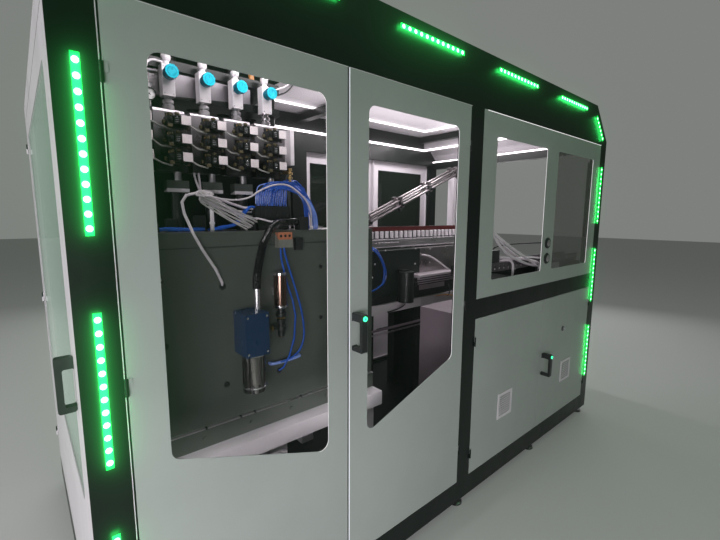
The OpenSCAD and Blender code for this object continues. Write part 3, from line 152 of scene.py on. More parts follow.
def coated(name, color, rough=0.4, spread=0.06, dirt=0.12, peel=0.08, gloss=0.5, coat=0.0):
    """Powder coat or paint: orange peel, cloudy colour and faint smudges."""
    m = Nodes(name)
    cloud = m.noise(2.3, 5.0, 0.6)
    smudge = m.noise(9.0, 6.0, 0.65, (1, 1, 0.35))
    m.drive(Base_Color=m.ramp(cloud, (0.25, shade(color, 1 - dirt)), (0.55, color),
                              (0.8, shade(color, 1 + spread))),
            Roughness=m.span(smudge, rough - 0.07, rough + 0.09))
    m.bump(m.noise(420.0, 2.0), peel, 0.0006)
    m.set(Specular_IOR_Level=gloss)
    if coat:
        m.set(Coat_Weight=coat, Coat_Roughness=0.12)
    return m.mat


def metal(name, color, rough=0.3, stretch=(1, 1, 60), spread=0.1, scratch=0.15, scale=14.0):
    """Bare metal with a grain along one axis and cloudy roughness."""
    m = Nodes(name)
    grain = m.noise(scale, 6.0, 0.7, stretch)
    cloud = m.noise(5.0, 4.0, 0.6)
    m.drive(Base_Color=m.ramp(grain, (0.3, shade(color, 1 - spread)), (0.7, shade(color, 1 + spread))),
            Roughness=m.span(cloud, rough - 0.08, rough + 0.12))
    m.bump(grain, scratch, 0.0005)
    m.set(Metallic=1.0)
    return m.mat


def plastic(name, color, rough=0.35, grain=0.12, scale=260.0, dirt=0.1):
    """Moulded plastic: fine grain, slight clouds in colour and gloss."""
    m = Nodes(name)
    cloud = m.noise(18.0, 4.0, 0.6)
    m.drive(Base_Color=m.ramp(cloud, (0.3, shade(color, 1 - dirt)), (0.7, shade(color, 1 + dirt))),
            Roughness=m.span(m.noise(40.0, 3.0), rough - 0.05, rough + 0.08))
    m.bump(m.noise(scale, 2.0), grain, 0.0004)
    return m.mat


def pane(name, color, alpha, painted_reflection=None):
    """Clear sheet with faint wiping marks. A painted reflection, given as glow, makes it pale and less
    clear where it is seen edge on.
    """
    m = Nodes(name)
    wipe = m.noise(3.0, 6.0, 0.7, (1, 1, 0.4))
    body = m.span(wipe, alpha - 0.015, alpha + 0.025)
    if painted_reflection:
        # Painted reflection: glow and cover rise where the sheet is seen edge on
        edge = m.add("ShaderNodeLayerWeight", Blend=0.5)
        edge_on_glow = m.span(edge.outputs["Facing"], 0.0, 0.6, 0.7, 1.0)
        body = m.total(body, edge_on_glow)
        m.drive(Emission_Strength=edge_on_glow)
        m.set(Emission_Color=(*painted_reflection, 1))
    m.drive(Roughness=m.span(wipe, 0.02, 0.06), Alpha=body)
    m.set(Base_Color=(*color, 1), IOR=1.5, Specular_IOR_Level=0.6)
    return m.mat


def glow(name, color, strength, base=0.6):
    """Lit surface with a slightly uneven strength: lamps, and painted highlights that glow though they
    are no lamps.
    """
    m = Nodes(name)
    m.drive(Emission_Strength=m.span(m.noise(60.0, 2.0), strength * 0.9, strength * 1.1))
    m.set(Emission_Color=(*color, 1), Base_Color=(*shade(color, base), 1), Roughness=0.3)
    return m.mat


def two_tone(name, upper, lower, height):
    """Satin paint that changes colour at a height, for fronts that share one plane."""
    m = Nodes(name)
    side = m.add("ShaderNodeMath", operation="GREATER_THAN")
    side.inputs[1].default_value = height
    m.link(m.height(), side.inputs[0])
    m.drive(Base_Color=m.ramp(side.outputs["Value"], (0.2, lower), (0.8, upper)),
            Roughness=m.span(m.noise(9.0, 5.0), 0.34, 0.5))
    m.bump(m.noise(400.0, 2.0), 0.05, 0.0006)
    return m.mat


def painted_shade_metal(name, low, high, z_low, z_high):
    """Metal painted darker towards its lower end: painted shade at the bottom, painted reflection at the
    top.
    """
    m = Nodes(name)
    height = m.span(m.height(), 0.0, 0.8, z_low, z_high)
    cloud = m.span(m.noise(11.0, 5.0, 0.65, (1, 1, 0.4)), 0.0, 0.2)
    m.drive(Base_Color=m.ramp(m.total(height, cloud), (0.08, low), (0.9, high)),
            Roughness=m.span(m.noise(7.0, 4.0), 0.24, 0.42))
    m.bump(m.noise(160.0, 3.0), 0.1, 0.0005)
    m.set(Metallic=0.6)
    return m.mat


M = {
    "black": coated("powder_black", (0.005, 0.009, 0.007), 0.34, 0.25, 0.2, 0.10, gloss=0.3),
    "grey": coated("paint_light_grey", (0.36, 0.40, 0.375), 0.38, 0.05, 0.07, 0.07, coat=0.1),
    "white": coated("paint_white", (0.66, 0.63, 0.66), 0.38, 0.05, 0.08, 0.07),
    "lining": coated("roof_lining_green", (0.014, 0.045, 0.024), 0.85, 0.1, 0.2, 0.05, gloss=0.1),
    "plate": coated("plate_grey_green", (0.085, 0.10, 0.086), 0.42, 0.12, 0.2, 0.05),
    "mauve": coated("cabinet_mauve", (0.22, 0.18, 0.205), 0.42, 0.08, 0.1, 0.05),
    "blue_paint": coated("valve_blue", (0.005, 0.030, 0.085), 0.3, 0.1, 0.15, 0.03, coat=0.4),
    "drive": coated("drive_dark_green", (0.016, 0.026, 0.021), 0.36, 0.3, 0.25, 0.04),
    "red": coated("guard_red", (0.10, 0.014, 0.015), 0.4, 0.1, 0.2, 0.04),
    "dark": plastic("dark_parts", (0.014, 0.017, 0.017), 0.34),
    "valve": plastic("valve_black", (0.012, 0.016, 0.013), 0.3, 0.2),
    "rubber": plastic("hose_rubber", (0.006, 0.007, 0.007), 0.22, 0.12, 180.0),
    "steel": metal("steel_ground", (0.50, 0.49, 0.50), 0.34, (40, 1, 1)),
    "steel_v": metal("steel_sheet", (0.50, 0.47, 0.48), 0.3, (1, 1, 30), 0.12, 0.1, 6.0),
    "alloy": metal("alloy_brushed", (0.72, 0.70, 0.72), 0.32, (1, 40, 40), 0.07, 0.1),
    # Manifold colour: painted shade low down, painted reflection of the lights at its top edges
    "manifold": painted_shade_metal("manifold_alloy", (0.010, 0.014, 0.011), (0.46, 0.44, 0.46), 1.715, 1.872),
    "tray": metal("tray_metal", (0.20, 0.19, 0.20), 0.4, (40, 1, 1)),
    "chute": metal("chute_metal", (0.27, 0.25, 0.255), 0.38, (40, 1, 1)),
    "deck": coated("deck_light", (0.52, 0.47, 0.50), 0.4, 0.1, 0.15, 0.05),
    "beam": two_tone("beam_white_over_black", (0.60, 0.56, 0.59), (0.006, 0.008, 0.008), 0.83),
    "chrome": metal("chrome_bright", (0.76, 0.76, 0.77), 0.12, (1, 1, 1), 0.04, 0.03),
    # Chrome darkened as a painted reflection of dark surroundings
    "shaded_chrome": metal("chrome_painted_shade", (0.30, 0.29, 0.28), 0.15, (1, 1, 1), 0.1, 0.04),
    "copper": metal("filter_copper", (0.22, 0.14, 0.11), 0.14, (1, 1, 1), 0.2, 0.03),
    "brass": metal("brass_fitting", (0.60, 0.42, 0.18), 0.3, (1, 1, 1), 0.1, 0.05),
    "amber": plastic("fitting_amber", (0.55, 0.25, 0.07), 0.4),
    "cyan": plastic("knob_cyan", (0.0, 0.50, 0.64), 0.34, 0.08),
    "teal": plastic("knob_teal", (0.0, 0.19, 0.27), 0.35, 0.1),
    "white_plastic": plastic("white_plastic", (0.80, 0.77, 0.79), 0.36),
    "dial": plastic("gauge_dial", (0.80, 0.80, 0.80), 0.5, 0.02),
    "label": plastic("blank_label", (0.86, 0.80, 0.80), 0.5, 0.05, dirt=0.16),
    "blue_tube": plastic("tube_blue", (0.022, 0.10, 0.46), 0.2),
    "light_blue": plastic("tube_light_blue", (0.26, 0.38, 0.85), 0.2),
    "lead": plastic("lead_white", (0.60, 0.56, 0.59), 0.36),
    "pale_tube": plastic("tube_pale", (0.42, 0.43, 0.40), 0.3),
    "orange": plastic("connector_orange", (0.50, 0.19, 0.10), 0.4),
    "beige": plastic("connector_beige", (0.20, 0.21, 0.18), 0.4),
    "clear": pane("pane_clear", (0.012, 0.02, 0.015), 0.09),
    "clear_end": pane("pane_clear_end", (0.012, 0.02, 0.015), 0.09, painted_reflection=(0.36, 0.46, 0.40)),
    "tinted": pane("pane_tinted", (0.008, 0.014, 0.010), 0.86),
    "smoked": pane("pane_smoked", (0.12, 0.118, 0.108), 0.55),
    "led": glow("led_green", (0.01, 1.0, 0.20), 0.62, 0.4),
    "chip": glow("led_chip", (0.45, 1.0, 0.62), 3.4),
    "strip": glow("work_light_white", (1.0, 0.93, 0.98), 3.4),
    # Painted highlights: the window and panel edges and the seam between the doors glow as if lit
    "edge_light": glow("light_on_edges", (1.0, 0.95, 0.98), 0.75),
    "seam_light": glow("light_on_seam", (0.92, 0.93, 1.0), 0.60),
    "button_glow": glow("button_green", (0.05, 1.0, 0.40), 2.2),
    "terminal_green": plastic("terminal_green", (0.03, 0.22, 0.10), 0.4),
    "olive": plastic("dusty_olive", (0.085, 0.072, 0.035), 0.5, 0.3, dirt=0.35),
    "module_grey": plastic("module_grey", (0.34, 0.35, 0.36), 0.4),
}


# Planes and heights that the paint rules and the added pieces share, in millimetres
MM = 1000  # in a metre
FRONT, REAR, RIGHT, ROOF = -800, 800, 1600, 2259
DOOR_LOW, DOOR_HIGH = 158, 2009
PLATE_FRONT, PLATE_TOP = -500, 1455  # station plate
COLS = [-1350 + 122 * k for k in range(5)]  # valves
ROWS = (1828, 1768, 1708)
KNOB_Z = 1984
VENT_Z, VENT_HALF = 449, 75.5
HOUSING = 84.6  # front of the drive housing
BOX_TOP = 1003.4  # electrical cabinet
MOUNT, RAIL_FACE = -470, -479  # its mounting plate and the rails on it


def paint(node, base, *rules):
    """Give a CAD node its materials: each rule is (test of a face centre in mm, material)."""
    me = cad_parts[node].data
    me.materials.clear()
    for name in (base, *(name for _, name in rules)):
        me.materials.append(M[name])
    for f in me.polygons:
        centre = f.center * MM
        f.material_index = next((i for i, (test, _) in enumerate(rules, 1) if test(centre)), 0)


def near(v, *targets):
    return any(abs(v - t) < 0.4 for t in targets)


def in_sheet(c):
    """In the thickness of the front sheet, as the edge of a window is."""
    return FRONT + 0.1 < c.y < FRONT + 1.9


for material, nodes in (
        ("black", ("base_frame",)), ("white", ("roof_cover", "machine_bed")),
        ("grey", ("right_end_panel", "rear_panel")), ("led", ("led_bars",)),
        ("smoked", ("smoked_pane",)), ("clear", ("front_pane_left", "front_pane_right")),
        ("clear_end", ("end_pane",)), ("tinted", ("rear_pane_left", "rear_pane_right")),
        ("dark", ("front_handle", "cabinet_handle", "end_handle")),
        ("button_glow", ("front_button", "cabinet_button")), ("lead", ("white_cables",)),
        ("chrome", ("tie_bars",)), ("rubber", ("recovery_hose",))):
    for n in nodes:
        paint(n, material)

# Enclosure
for n in ("front_frame", "rear_frame"):
    paint(n, "black", (lambda c: c.x < -1599.5, "white"))
paint("levelling_feet", "steel", (lambda c: c.z < 8, "rubber"))
paint("work_lights", "white_plastic",
      (lambda c: near(c.y, 510, 728), "strip"),
      (lambda c: near(c.x, 1142, 1387, 1540), "strip"))
paint("control_panel", "grey",
      (lambda c: c.y < -800.5, "dark"),
      # Painted highlight: the edges of the two ports glow
      (lambda c: in_sheet(c) and (650 < c.x < 750 or 1330 < c.x < 1420) and 1150 < c.z < 1950,
       "edge_light"))
for n in ("start_button", "stop_button"):
    paint(n, "alloy", (lambda c: c.y > -808.5, "dark"))
for n, x in (("front_door_left", -950), ("front_door_right", -250)):
    paint(n, "grey",
          (lambda c: c.y < -803.1, "black"),
          # Painted highlight: one edge of each window glows
          (lambda c, x=x: in_sheet(c) and x < c.x < x + 120 and 620 < c.z < 1950, "edge_light"))
for n, x in (("cabinet_door_left", 364), ("cabinet_door_right", 1172.5)):
    paint(n, "grey",
          (lambda c, x=x: max(abs(c.x - x), abs(c.z - VENT_Z)) < VENT_HALF and c.y < -797.5, "white"),
          (lambda c: c.y < -804.1, "black"))
paint("cam_lock", "chrome", (lambda c: -806.5 < c.y < -799.5, "dark"))
for n in ("rear_door_left", "rear_door_right"):
    paint(n, "white", (lambda c: c.y > 803.5, "dark"))
paint("end_door", "white", (lambda c: c.x < -1603.1, "black"))
paint("electrical_box", "mauve", (lambda c: -471 < c.y < -444.2 and 90 < c.x < 1445, "alloy"))
paint("cable_tray", "tray", (lambda c: c.z < 1199.5, "black"))

# Blow station
paint("station_plates", "plate",
      (lambda c: c.z > 1454.5 and c.y < -474, "alloy"),
      (lambda c: -474.5 < c.y < 59.5 and c.z > 1440.5, "steel"),
      (lambda c: -474.5 < c.y < 59.5, "alloy"),
      (lambda c: c.y < -500.5 and c.z > 742.5, "alloy"))
paint("mould_front", "steel", (lambda c: c.y < -328, "chrome"), (lambda c: c.y < -288, "plate"))
paint("mould_rear", "steel", (lambda c: c.y > -87, "chrome"), (lambda c: c.y > -127, "plate"))
paint("stretch_frame", "black",
      (lambda c: 1955.2 < c.z < 2010.5 and c.y < -327 and c.x < -921.5, "tray"),
      (lambda c: c.z > 2052.2 and c.y < -300, "amber"))
paint("stretch_carriage", "steel", (lambda c: c.z < 1834.5 or c.z > 1859.5, "chrome"))
paint("valve_manifold", "manifold",
      (lambda c: c.x > -778.5 and c.y < -354.5 and c.z > 1723.5, "white_plastic"),
      (lambda c: c.z < 1593.8, "dark"),
      (lambda c: c.z < 1606.2 and c.y < -345, "white_plastic"),
      (lambda c: c.z < 1634.5 and c.y < -345, "plate"),
      (lambda c: c.z < 1664.5 and c.y < -354.5, "steel"))
paint("solenoid_valves", "valve",
      (lambda c: c.y > -419.5 and any(z + 6.5 < c.z < z + 18.5 for z in ROWS), "brass"))
paint("regulators", "white_plastic",
      (lambda c: c.z < 1915.1, "alloy"),
      (lambda c: c.y < -398.5, "steel"))
for k in range(1, 5):
    paint(f"knob_{k}", "teal", (lambda c: c.y < -441.5, "cyan"))
paint("pressure_gauge", "dark", (lambda c: c.z < 1889.5, "steel"))
paint("air_connectors", "valve",
      (lambda c: c.y < -499.5 and c.z > 1419.5, "orange"),
      (lambda c: c.y < -499.5, "beige"),
      (lambda c: c.z > 1550.5 or c.x > -750, "blue_tube"))
paint("air_lines", "blue_tube", (lambda c: c.x < -930, "lead"))
paint("exhaust_valve", "blue_paint",
      (lambda c: 1163.5 < c.z < 1300, "chrome"),
      (lambda c: c.z > 1400, "dark"))
# The silencer's darkened chrome is a painted reflection
paint("exhaust_silencer", "shaded_chrome", (lambda c: c.z < 892.5, "dark"))
paint("air_filter", "copper", (lambda c: c.z < 1159.9, "dark"), (lambda c: c.y > -520, "steel"))

# Oven bay
paint("chain_rail", "alloy",
      (lambda c: 1397.5 < c.z < 1431.5, "red"),
      (lambda c: 1343.5 < c.z < 1397.5, "drive"))
paint("mandrels", "white_plastic", (lambda c: c.z < 1348.7, "dark"))
paint("infeed_chute", "chute", (lambda c: 1170 < c.x < 1330 and c.z < 1800, "white"))
paint("oven_body", "steel_v", (lambda c: c.z < 947.5, "black"), (lambda c: c.y < 84.5, "deck"))
paint("drive_box", "drive",
      (lambda c: c.y < 84.5 and c.z > 897.5, "dark"),
      (lambda c: c.y < 63.5 and c.z < 895.5 and not 714 < c.z < 733.5
       or c.y < 143.5 and 829.5 < c.z < 895.5, "beam"),
      (lambda c: c.y < 63.5 and 714 < c.z < 733.5, "chrome"),
      (lambda c: c.z < 894.5, "black"))


# Added pieces, given in millimetres; each rides on a CAD body
def smooth_route(points, steps):
    """Catmull-Rom curve through the points."""
    p = [Vector(q) for q in points]
    p = [2 * p[0] - p[1]] + p + [2 * p[-1] - p[-2]]
    out = []
    for i in range(1, len(p) - 2):
        for s in range(steps):
            t = s / steps
            out.append(0.5 * ((2 * p[i]) + (p[i + 1] - p[i - 1]) * t
                              + (2 * p[i - 1] - 5 * p[i] + 4 * p[i + 1] - p[i + 2]) * t * t
                              + (3 * p[i] - p[i - 1] - 3 * p[i + 1] + p[i + 2]) * t ** 3))
    out.append(p[-2])
    return out


def side_of(d):
    """A unit vector square to d."""
    return d.cross(Vector((0, 0, 1)) if abs(d.z) < 0.9 else Vector((1, 0, 0))).normalized()


class Piece:
    """One object made of blocks, rods and tubes."""

    def __init__(self, name, material, body="enclosure"):
        self.name, self.material, self.body = name, material, body
        self.bm = bmesh.new()

    def block(self, lo, hi):
        v = [self.bm.verts.new(Vector((x, y, z)) / MM)
             for x in (lo[0], hi[0]) for y in (lo[1], hi[1]) for z in (lo[2], hi[2])]
        for q in ((0, 1, 3, 2), (4, 6, 7, 5), (0, 4, 5, 1), (2, 3, 7, 6), (0, 2, 6, 4), (1, 5, 7, 3)):
            self.bm.faces.new([v[i] for i in q])
        return self

    def loft(self, centres, radii, n, start=0.0):
        """Skin over n-sided rings around the centres, closed at both ends."""
        ref, rings, last = None, [], len(centres) - 1
        angles = [start + 2 * math.pi * k / n for k in range(n)]
        for i, (q, r) in enumerate(zip(centres, radii)):
            d = (centres[min(i + 1, last)] - centres[max(i - 1, 0)]).normalized()
            ref = side_of(d) if ref is None else (ref - d * ref.dot(d)).normalized()
            other = d.cross(ref)
            rings.append([self.bm.verts.new((q + r * (math.cos(a) * ref + math.sin(a) * other)) / MM)
                          for a in angles])
        for a, b in zip(rings, rings[1:]):
            for k in range(n):
                self.bm.faces.new((a[k], a[(k + 1) % n], b[(k + 1) % n], b[k]))
        self.bm.faces.new(rings[0][::-1])
        self.bm.faces.new(rings[-1])
        return self

    def rod(self, a, b, r, n=16):
        """Rod with slightly eased ends."""
        a, b = Vector(a), Vector(b)
        ease = min(0.12 * r, 0.2 * (b - a).length)
        d = (b - a).normalized() * ease
        return self.loft([a, a + d, b - d, b], [r - ease, r, r, r - ease], n, math.pi / n)

    def tube(self, points, r, n=10, steps=6):
        """Round tube of radius r along a smooth route."""
        route = smooth_route(points, steps)
        return self.loft(route, [r] * len(route), n)

    def wire(self, points, r):
        """Coarser tube for the many thin wires."""
        return self.tube(points, r, 6, 4)

    def done(self, bevel=0.0):
        """Make the object, with bevelled edges if asked, and let it ride on its body."""
        me = bpy.data.meshes.new(self.name)
        self.bm.normal_update()
        self.bm.to_mesh(me)
        self.bm.free()
        ob = bpy.data.objects.new(self.name, me)
        bpy.context.scene.collection.objects.link(ob)
        me.materials.append(M[self.material])
        for f in me.polygons:
            f.use_smooth = True
        me.set_sharp_from_angle(angle=math.radians(35))
        if bevel:
            mod = ob.modifiers.new("edge", "BEVEL")
            mod.width = bevel / MM
            mod.segments = 2
            mod.limit_method = "ANGLE"
        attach(ob, self.body)
        return ob


# Chips in the light bars
def bar_centres():
    """Each bar's centre (x, z), its direction in x and z and its number of chips."""
    for side in (-1, 1):
        for z in (500, 1082.5, 1665):
            yield side * 1552, z, 0, 1, 12
        yield side * 1458.6, 2117.6, 0.7071, -side * 0.7071, 6
    for x in (-1024, -340.8, 340.8, 1024):
        yield x, 2211, 1, 0, 12


CHIP_PITCH = 33.33
chips = Piece("led_chips", "chip")
for x, z, dx, dz, n in bar_centres():
    for i in range(n):
        s = (i - (n - 1) / 2) * CHIP_PITCH
        chips.rod((x + s * dx, FRONT + 0.6, z + s * dz), (x + s * dx, FRONT + 0.1, z + s * dz), 7.8, 8)
chips.done()

# Dark lining under the left part of the roof, on battens
lining = Piece("roof_lining", "lining").block((-1319, -700, 2249.6), (-500, 735, 2255.4))
for x in (-1312, -1040, -770, -514):
    lining.block((x, -690, 2244), (x + 14, 725, 2250))
lining.done(1)

# Black sheet with folded ends behind the nozzle cylinders, which keeps the space behind them dark
back_sheet = Piece("dark_back_sheet", "black").block((-1425, -353, PLATE_TOP + 0.4), (-750, -346, 1663.5))
for x in (-1425, -753):
    back_sheet.block((x, -372, PLATE_TOP + 0.4), (x + 3, -353, 1663.5))
back_sheet.done(1)

# Valves: blank labels, screws, plug glands and the thin tubes between the columns
labels = Piece("valve_labels", "label")
screws = Piece("valve_screws", "chrome")
glands = Piece("valve_glands", "dark")
ports = Piece("valve_ports", "brass")
links = Piece("valve_tubes", "pale_tube")
for k, x in enumerate(COLS):
    for r, z in enumerate(ROWS):
        labels.block((x - 4, -463.6, z - 15), (x + 28, -462.1, z + 15))
        for dz in (-9, 9):
            top = z + 24 + dz * 0.2
            screws.rod((x - 14, -453.5, z + dz), (x - 14, -456, z + dz), 2.6, 8)
            screws.rod((x + 14, -399.5, top), (x + 14, -402, top), 2.0, 8)
        glands.rod((x + 12, -444, z - 15.2), (x + 12, -444, z - 25), 6, 8)
        glands.block((x - 43, -446, z - 13), (x - 24.4, -403, z + 12))
        glands.block((x - 38, -400.2, z + 14), (x - 10, -396, z + 30))
        glands.rod((x - 33, -446, z + 2), (x - 33, -452, z + 2), 7, 6)
        ports.rod((x + 22, -413, z - 8), (x + 33, -413, z - 8), 5.5, 6)
        screws.block((x - 20, -424, z + 6), (x - 2, -404, z + 8.5))
        ports.rod((x - 33, -424, z + 12), (x - 33, -424, z + 21), 6, 6)
        if x != COLS[-1]:
            links.tube([(x + 33, -413, z - 8), (x + 42, -418, z - 10),
                        (x + 60, -424, z - 20 - 4 * (r % 2)), (x + 80, -424, z - 24),
                        (x + 92, -420, z - 26), (x + 97.6, -413, z - 18)], 3)
labels.done(0.8)
for p in (screws, glands, ports, links):
    p.done()
dusty = Piece("valve_fittings", "olive")
for k, x in enumerate(COLS):
    for r, z in enumerate(ROWS):
        dusty.rod((x - 33, -440, z + 12), (x - 33, -440, z + 20 + 3 * ((k + r) % 2)), 9, 6)
        dusty.rod((x - 10, -440, z + 18), (x - 10, -440, z + 27), 8, 6)
        dusty.rod((x + 22, -430, z - 16), (x + 22, -430, z - 26), 7, 6)
        dusty.block((x - 44, -456, z - 26), (x - 30, -440, z - 15))
        dusty.rod((x - 52, -420, z - 6), (x - 44, -420, z - 6), 8, 6)
dusty.done(0.8)
ribs = Piece("valve_coil_ribs", "module_grey")
for x in COLS:
    for z in ROWS:
        for dz in (-6, 0, 6):
            ribs.block((x - 20, -454.6, z + dz - 0.8), (x - 8, -454, z + dz + 0.8))
ribs.done()

# Gauge: dial, ticks and needle, with the tubes and the cable of the top row
GAUGE_X, GAUGE_Z, GLASS = -1309, 1911, -397.6


def gauge_point(y, dx=0.0, dz=0.0):
    return Vector((GAUGE_X + dx, y, GAUGE_Z + dz))


dial = Piece("gauge_dial", "dial")
dial.rod(gauge_point(-396.8), gauge_point(-397.3), 18.6, 40)
dial.rod(gauge_point(-397.2), gauge_point(GLASS), 17.2, 40).done()
ticks = Piece("gauge_ticks", "dark")
for i in range(25):
    a = math.radians(-135 + i * 11.25)
    length = 4.2 if i % 6 == 0 else 2.2
    out = Vector((math.sin(a), 0, math.cos(a)))
    at = gauge_point(GLASS - 0.1)
    ticks.loft([at + out * (16.2 - length), at + out * 16.2], [0.5, 0.5], 4)
ticks.loft([gauge_point(GLASS - 0.6, 4, -4), gauge_point(GLASS - 0.6, -9, 9)], [1.1, 0.4], 4)
ticks.rod(gauge_point(GLASS), gauge_point(-399), 2.2, 12)
ticks.done()
gauge_tube = Piece("gauge_tube", "white_plastic")
gauge_tube.tube([(-1309, -390, 1931), (-1312, -390, 1960), (-1313, -389, 1990), (-1307, -387, 2013),
                 (-1291, -384, 2024), (-1272, -381, 2026), (-1258, -378, 2026)], 4)
gauge_tube.rod((-1309, -390, 1930), (-1309, -390, 1946), 8, 6)
gauge_tube.tube([(-861, -380, 2005), (-842, -380, 2014), (-815, -379, 2026), (-788, -378, 2040),
                 (-760, -376, 2060), (-738, -372, 2100), (-730, -368, 2170), (-730, -366, 2250)], 4)
gauge_tube.done()
sensor_cable = Piece("sensor_cable", "dark")
sensor_cable.tube([(-861, -372, 1992), (-838, -372, 1996), (-805, -371, 2008), (-770, -370, 2028),
                   (-735, -366, 2070), (-712, -362, 2150), (-708, -360, 2250)], 3).done()

# Screws of the regulators, a mark and a ring of dashes on each knob
KNOB_X = [x - 18 for x in COLS[1:]]
reg_screws = Piece("regulator_screws", "steel")
for x in KNOB_X:
    for dx in (-14, 14):
        for z in (1922, 2009):
            reg_screws.rod((x + dx, -398, z), (x + dx, -399.6, z), 2.4, 8)
reg_screws.done()
for k, x in enumerate(KNOB_X, 1):
    mark = Piece(f"knob_marks_{k}", "teal", f"knob_{k}_cap")
    mark.block((x - 1.2, -442.5, KNOB_Z + 3), (x + 1.2, -441.9, KNOB_Z + 11))
    hub = Vector((x, -442.1, KNOB_Z))
    for i in range(14):
        dash = [hub + Vector((math.sin(a), 0, math.cos(a))) * 13.5
                for a in (i * 0.42 - 2.7, i * 0.42 - 2.4)]
        mark.loft(dash, [0.8, 0.8], 4)
    mark.done()

# Bundle of white leads from the nozzle plate into the valve terminal
leads = Piece("lead_bundle", "lead")
shaded = Piece("lead_bundle_back", "pale_tube")
UPPER = ((-1176, 1582), (-1126, 1565), (-1055, 1532), (-980, 1499))
LOWER = ((-1187, 1561), (-1147, 1530), (-1086, 1494), (-1026, 1461))
WOBBLE = (0, 3.4, -3.0, 1.2)
LEADS = 11
for i in range(LEADS):
    y = -470 - 5 * (i * 2 % 3)
    t = i / (LEADS - 1)
    middle = [(u[0] + (v[0] - u[0]) * t, y + 2 * (j % 2),
               u[1] + (v[1] - u[1]) * t + WOBBLE[(i * 3 + j) % 4])
              for j, (u, v) in enumerate(zip(UPPER, LOWER))]
    x, _, z = middle[-1]
    # Every third lead, at the back of the bundle, takes the darker tube colour as painted shade
    (shaded if i % 3 == 1 else leads).tube(
        [(-1144 + 5 * i, -397.8, 1600), (-1150 + 4 * i, -412, 1600), (-1172 + 2 * i, -446, 1598 - i),
         (-1188 + i, y + 4, 1592 - 2 * i), *middle,
         (x + 9, y + 10, z - 4), (x + 12, -451.5, z - 4)], 2.3, 8)
shaded.done()
leads.tube([(-1150, -397.8, 1598), (-1162, -420, 1600), (-1192, -458, 1592), (-1199, -477, 1582),
            (-1190, -483, 1580), (-1162, -484, 1579), (-1110, -484, 1570), (-1056, -484, 1569),
            (-1008, -484, 1580), (-963, -484, 1607), (-911, -484, 1628), (-857, -484, 1634),
            (-813, -484, 1618), (-762, -480, 1581), (-728, -470, 1536), (-719, -462, 1495),
            (-718, -460, 1467.5)], 3.4)
leads.tube([(-980, -451.8, 1500), (-972, -466, 1502), (-950, -484, 1496), (-925, -488, 1489),
            (-893, -490, 1487), (-868, -488, 1492), (-842, -478, 1488), (-830, -470, 1470),
            (-828, -468, PLATE_TOP + 0.3)], 3.4)
leads.done()
entry = Piece("lead_entry", "dark")
entry.block((-1034, -451.6, PLATE_TOP + 0.3), (-968, -426, 1506))
for x in (-1026, -976):
    entry.block((x - 5, -456, PLATE_TOP + 0.3), (x + 5, -451, 1462))
entry.done(2)
posts = Piece("station_top_fittings", "white_plastic")
posts.rod((-718, -460, PLATE_TOP), (-718, -460, 1468), 8, 6)
posts.rod((-1136, -441, PLATE_TOP), (-1136, -441, 1594), 7)
for z in (1480, 1540, 1585):
    posts.rod((-1136, -441, z), (-1136, -441, z + 9), 10, 6)
posts.done()

# Blue tubes on the terminal, in two shades, and a few that leave it to the left
for blue, first in (("blue_tube", 0), ("light_blue", 1)):
    fan = Piece(f"terminal_tubes_{blue}", blue)
    for i in range(first, 28, 2):
        x, y, dy = -960 + 4.9 * i, -447 + 7 * (i * 3 % 6), i % 3
        top, end_x = 1622 + 4 * (i * 5 % 7), -706 + i * 0.9
        fan.tube([(x, y, 1550), (x, y, 1570), (x + 2, y - 2, 1596), (x + 18 - 0.6 * i, y - 4, top - 12),
                  (-868 + 1.5 * i, y - 4, top), (-806 + 1.5 * i, y - 6, top - 12 + i % 4 * 3),
                  (-752 + i, -452 - dy * 4, 1583 - 3 * (i % 5)), (-718 + i, -448 - dy * 5, 1520),
                  (end_x, -444 - dy * 5, 1478), (end_x, -442 - dy * 5, PLATE_TOP + 0.3)], 2.2, 6)
    fan.done()
left_blue = Piece("left_tubes", "blue_tube")
for i in range(4):
    y = -444 + 9 * i
    left_blue.tube([(-969.4, y, 1544), (-985, y, 1545), (-1004, y - 4, 1530), (-1024, y - 6, 1502),
                    (-1052, y - 8, 1478), (-1080 - 6 * i, y - 8, 1470), (-1100 - 8 * i, y - 6, 1464),
                    (-1118 - 9 * i, y, 1459.5)], 4, 8)
left_blue.tube([(-1335, -462, 1463), (-1300, -464, 1466), (-1262, -462, 1464), (-1215, -456, 1463),
                (-1170, -452, 1463)], 7)
left_blue.done()
blocks = Piece("station_top_blocks", "dark")
blocks.block((-1365, -470, PLATE_TOP), (-1322, -430, 1486))
blocks.block((-1290, -440, PLATE_TOP), (-1256, -408, 1500))
blocks.block((-1196, -420, PLATE_TOP), (-1150, -390, 1512))
for i in range(9):
    x = -961 + 16.4 * i
    blocks.block((x, -451.6, 1500), (x + 13, -450, 1546))
    blocks.rod((x + 4, -432, 1550), (x + 4, -432, 1558), 5, 8)
blocks.done(1)
stack = Piece("fitting_stack", "brass")
stack.rod((-807, -353, 1690), (-807, -434, 1690), 5)
for z, r in ((1643, 8), (1660, 10), (1678, 11), (1694, 8)):
    stack.rod((-807, -441, z), (-807, -441, z + 10), r, 8)
stack.rod((-807, -441, 1643), (-807, -441, 1704), 5)
stack.done()

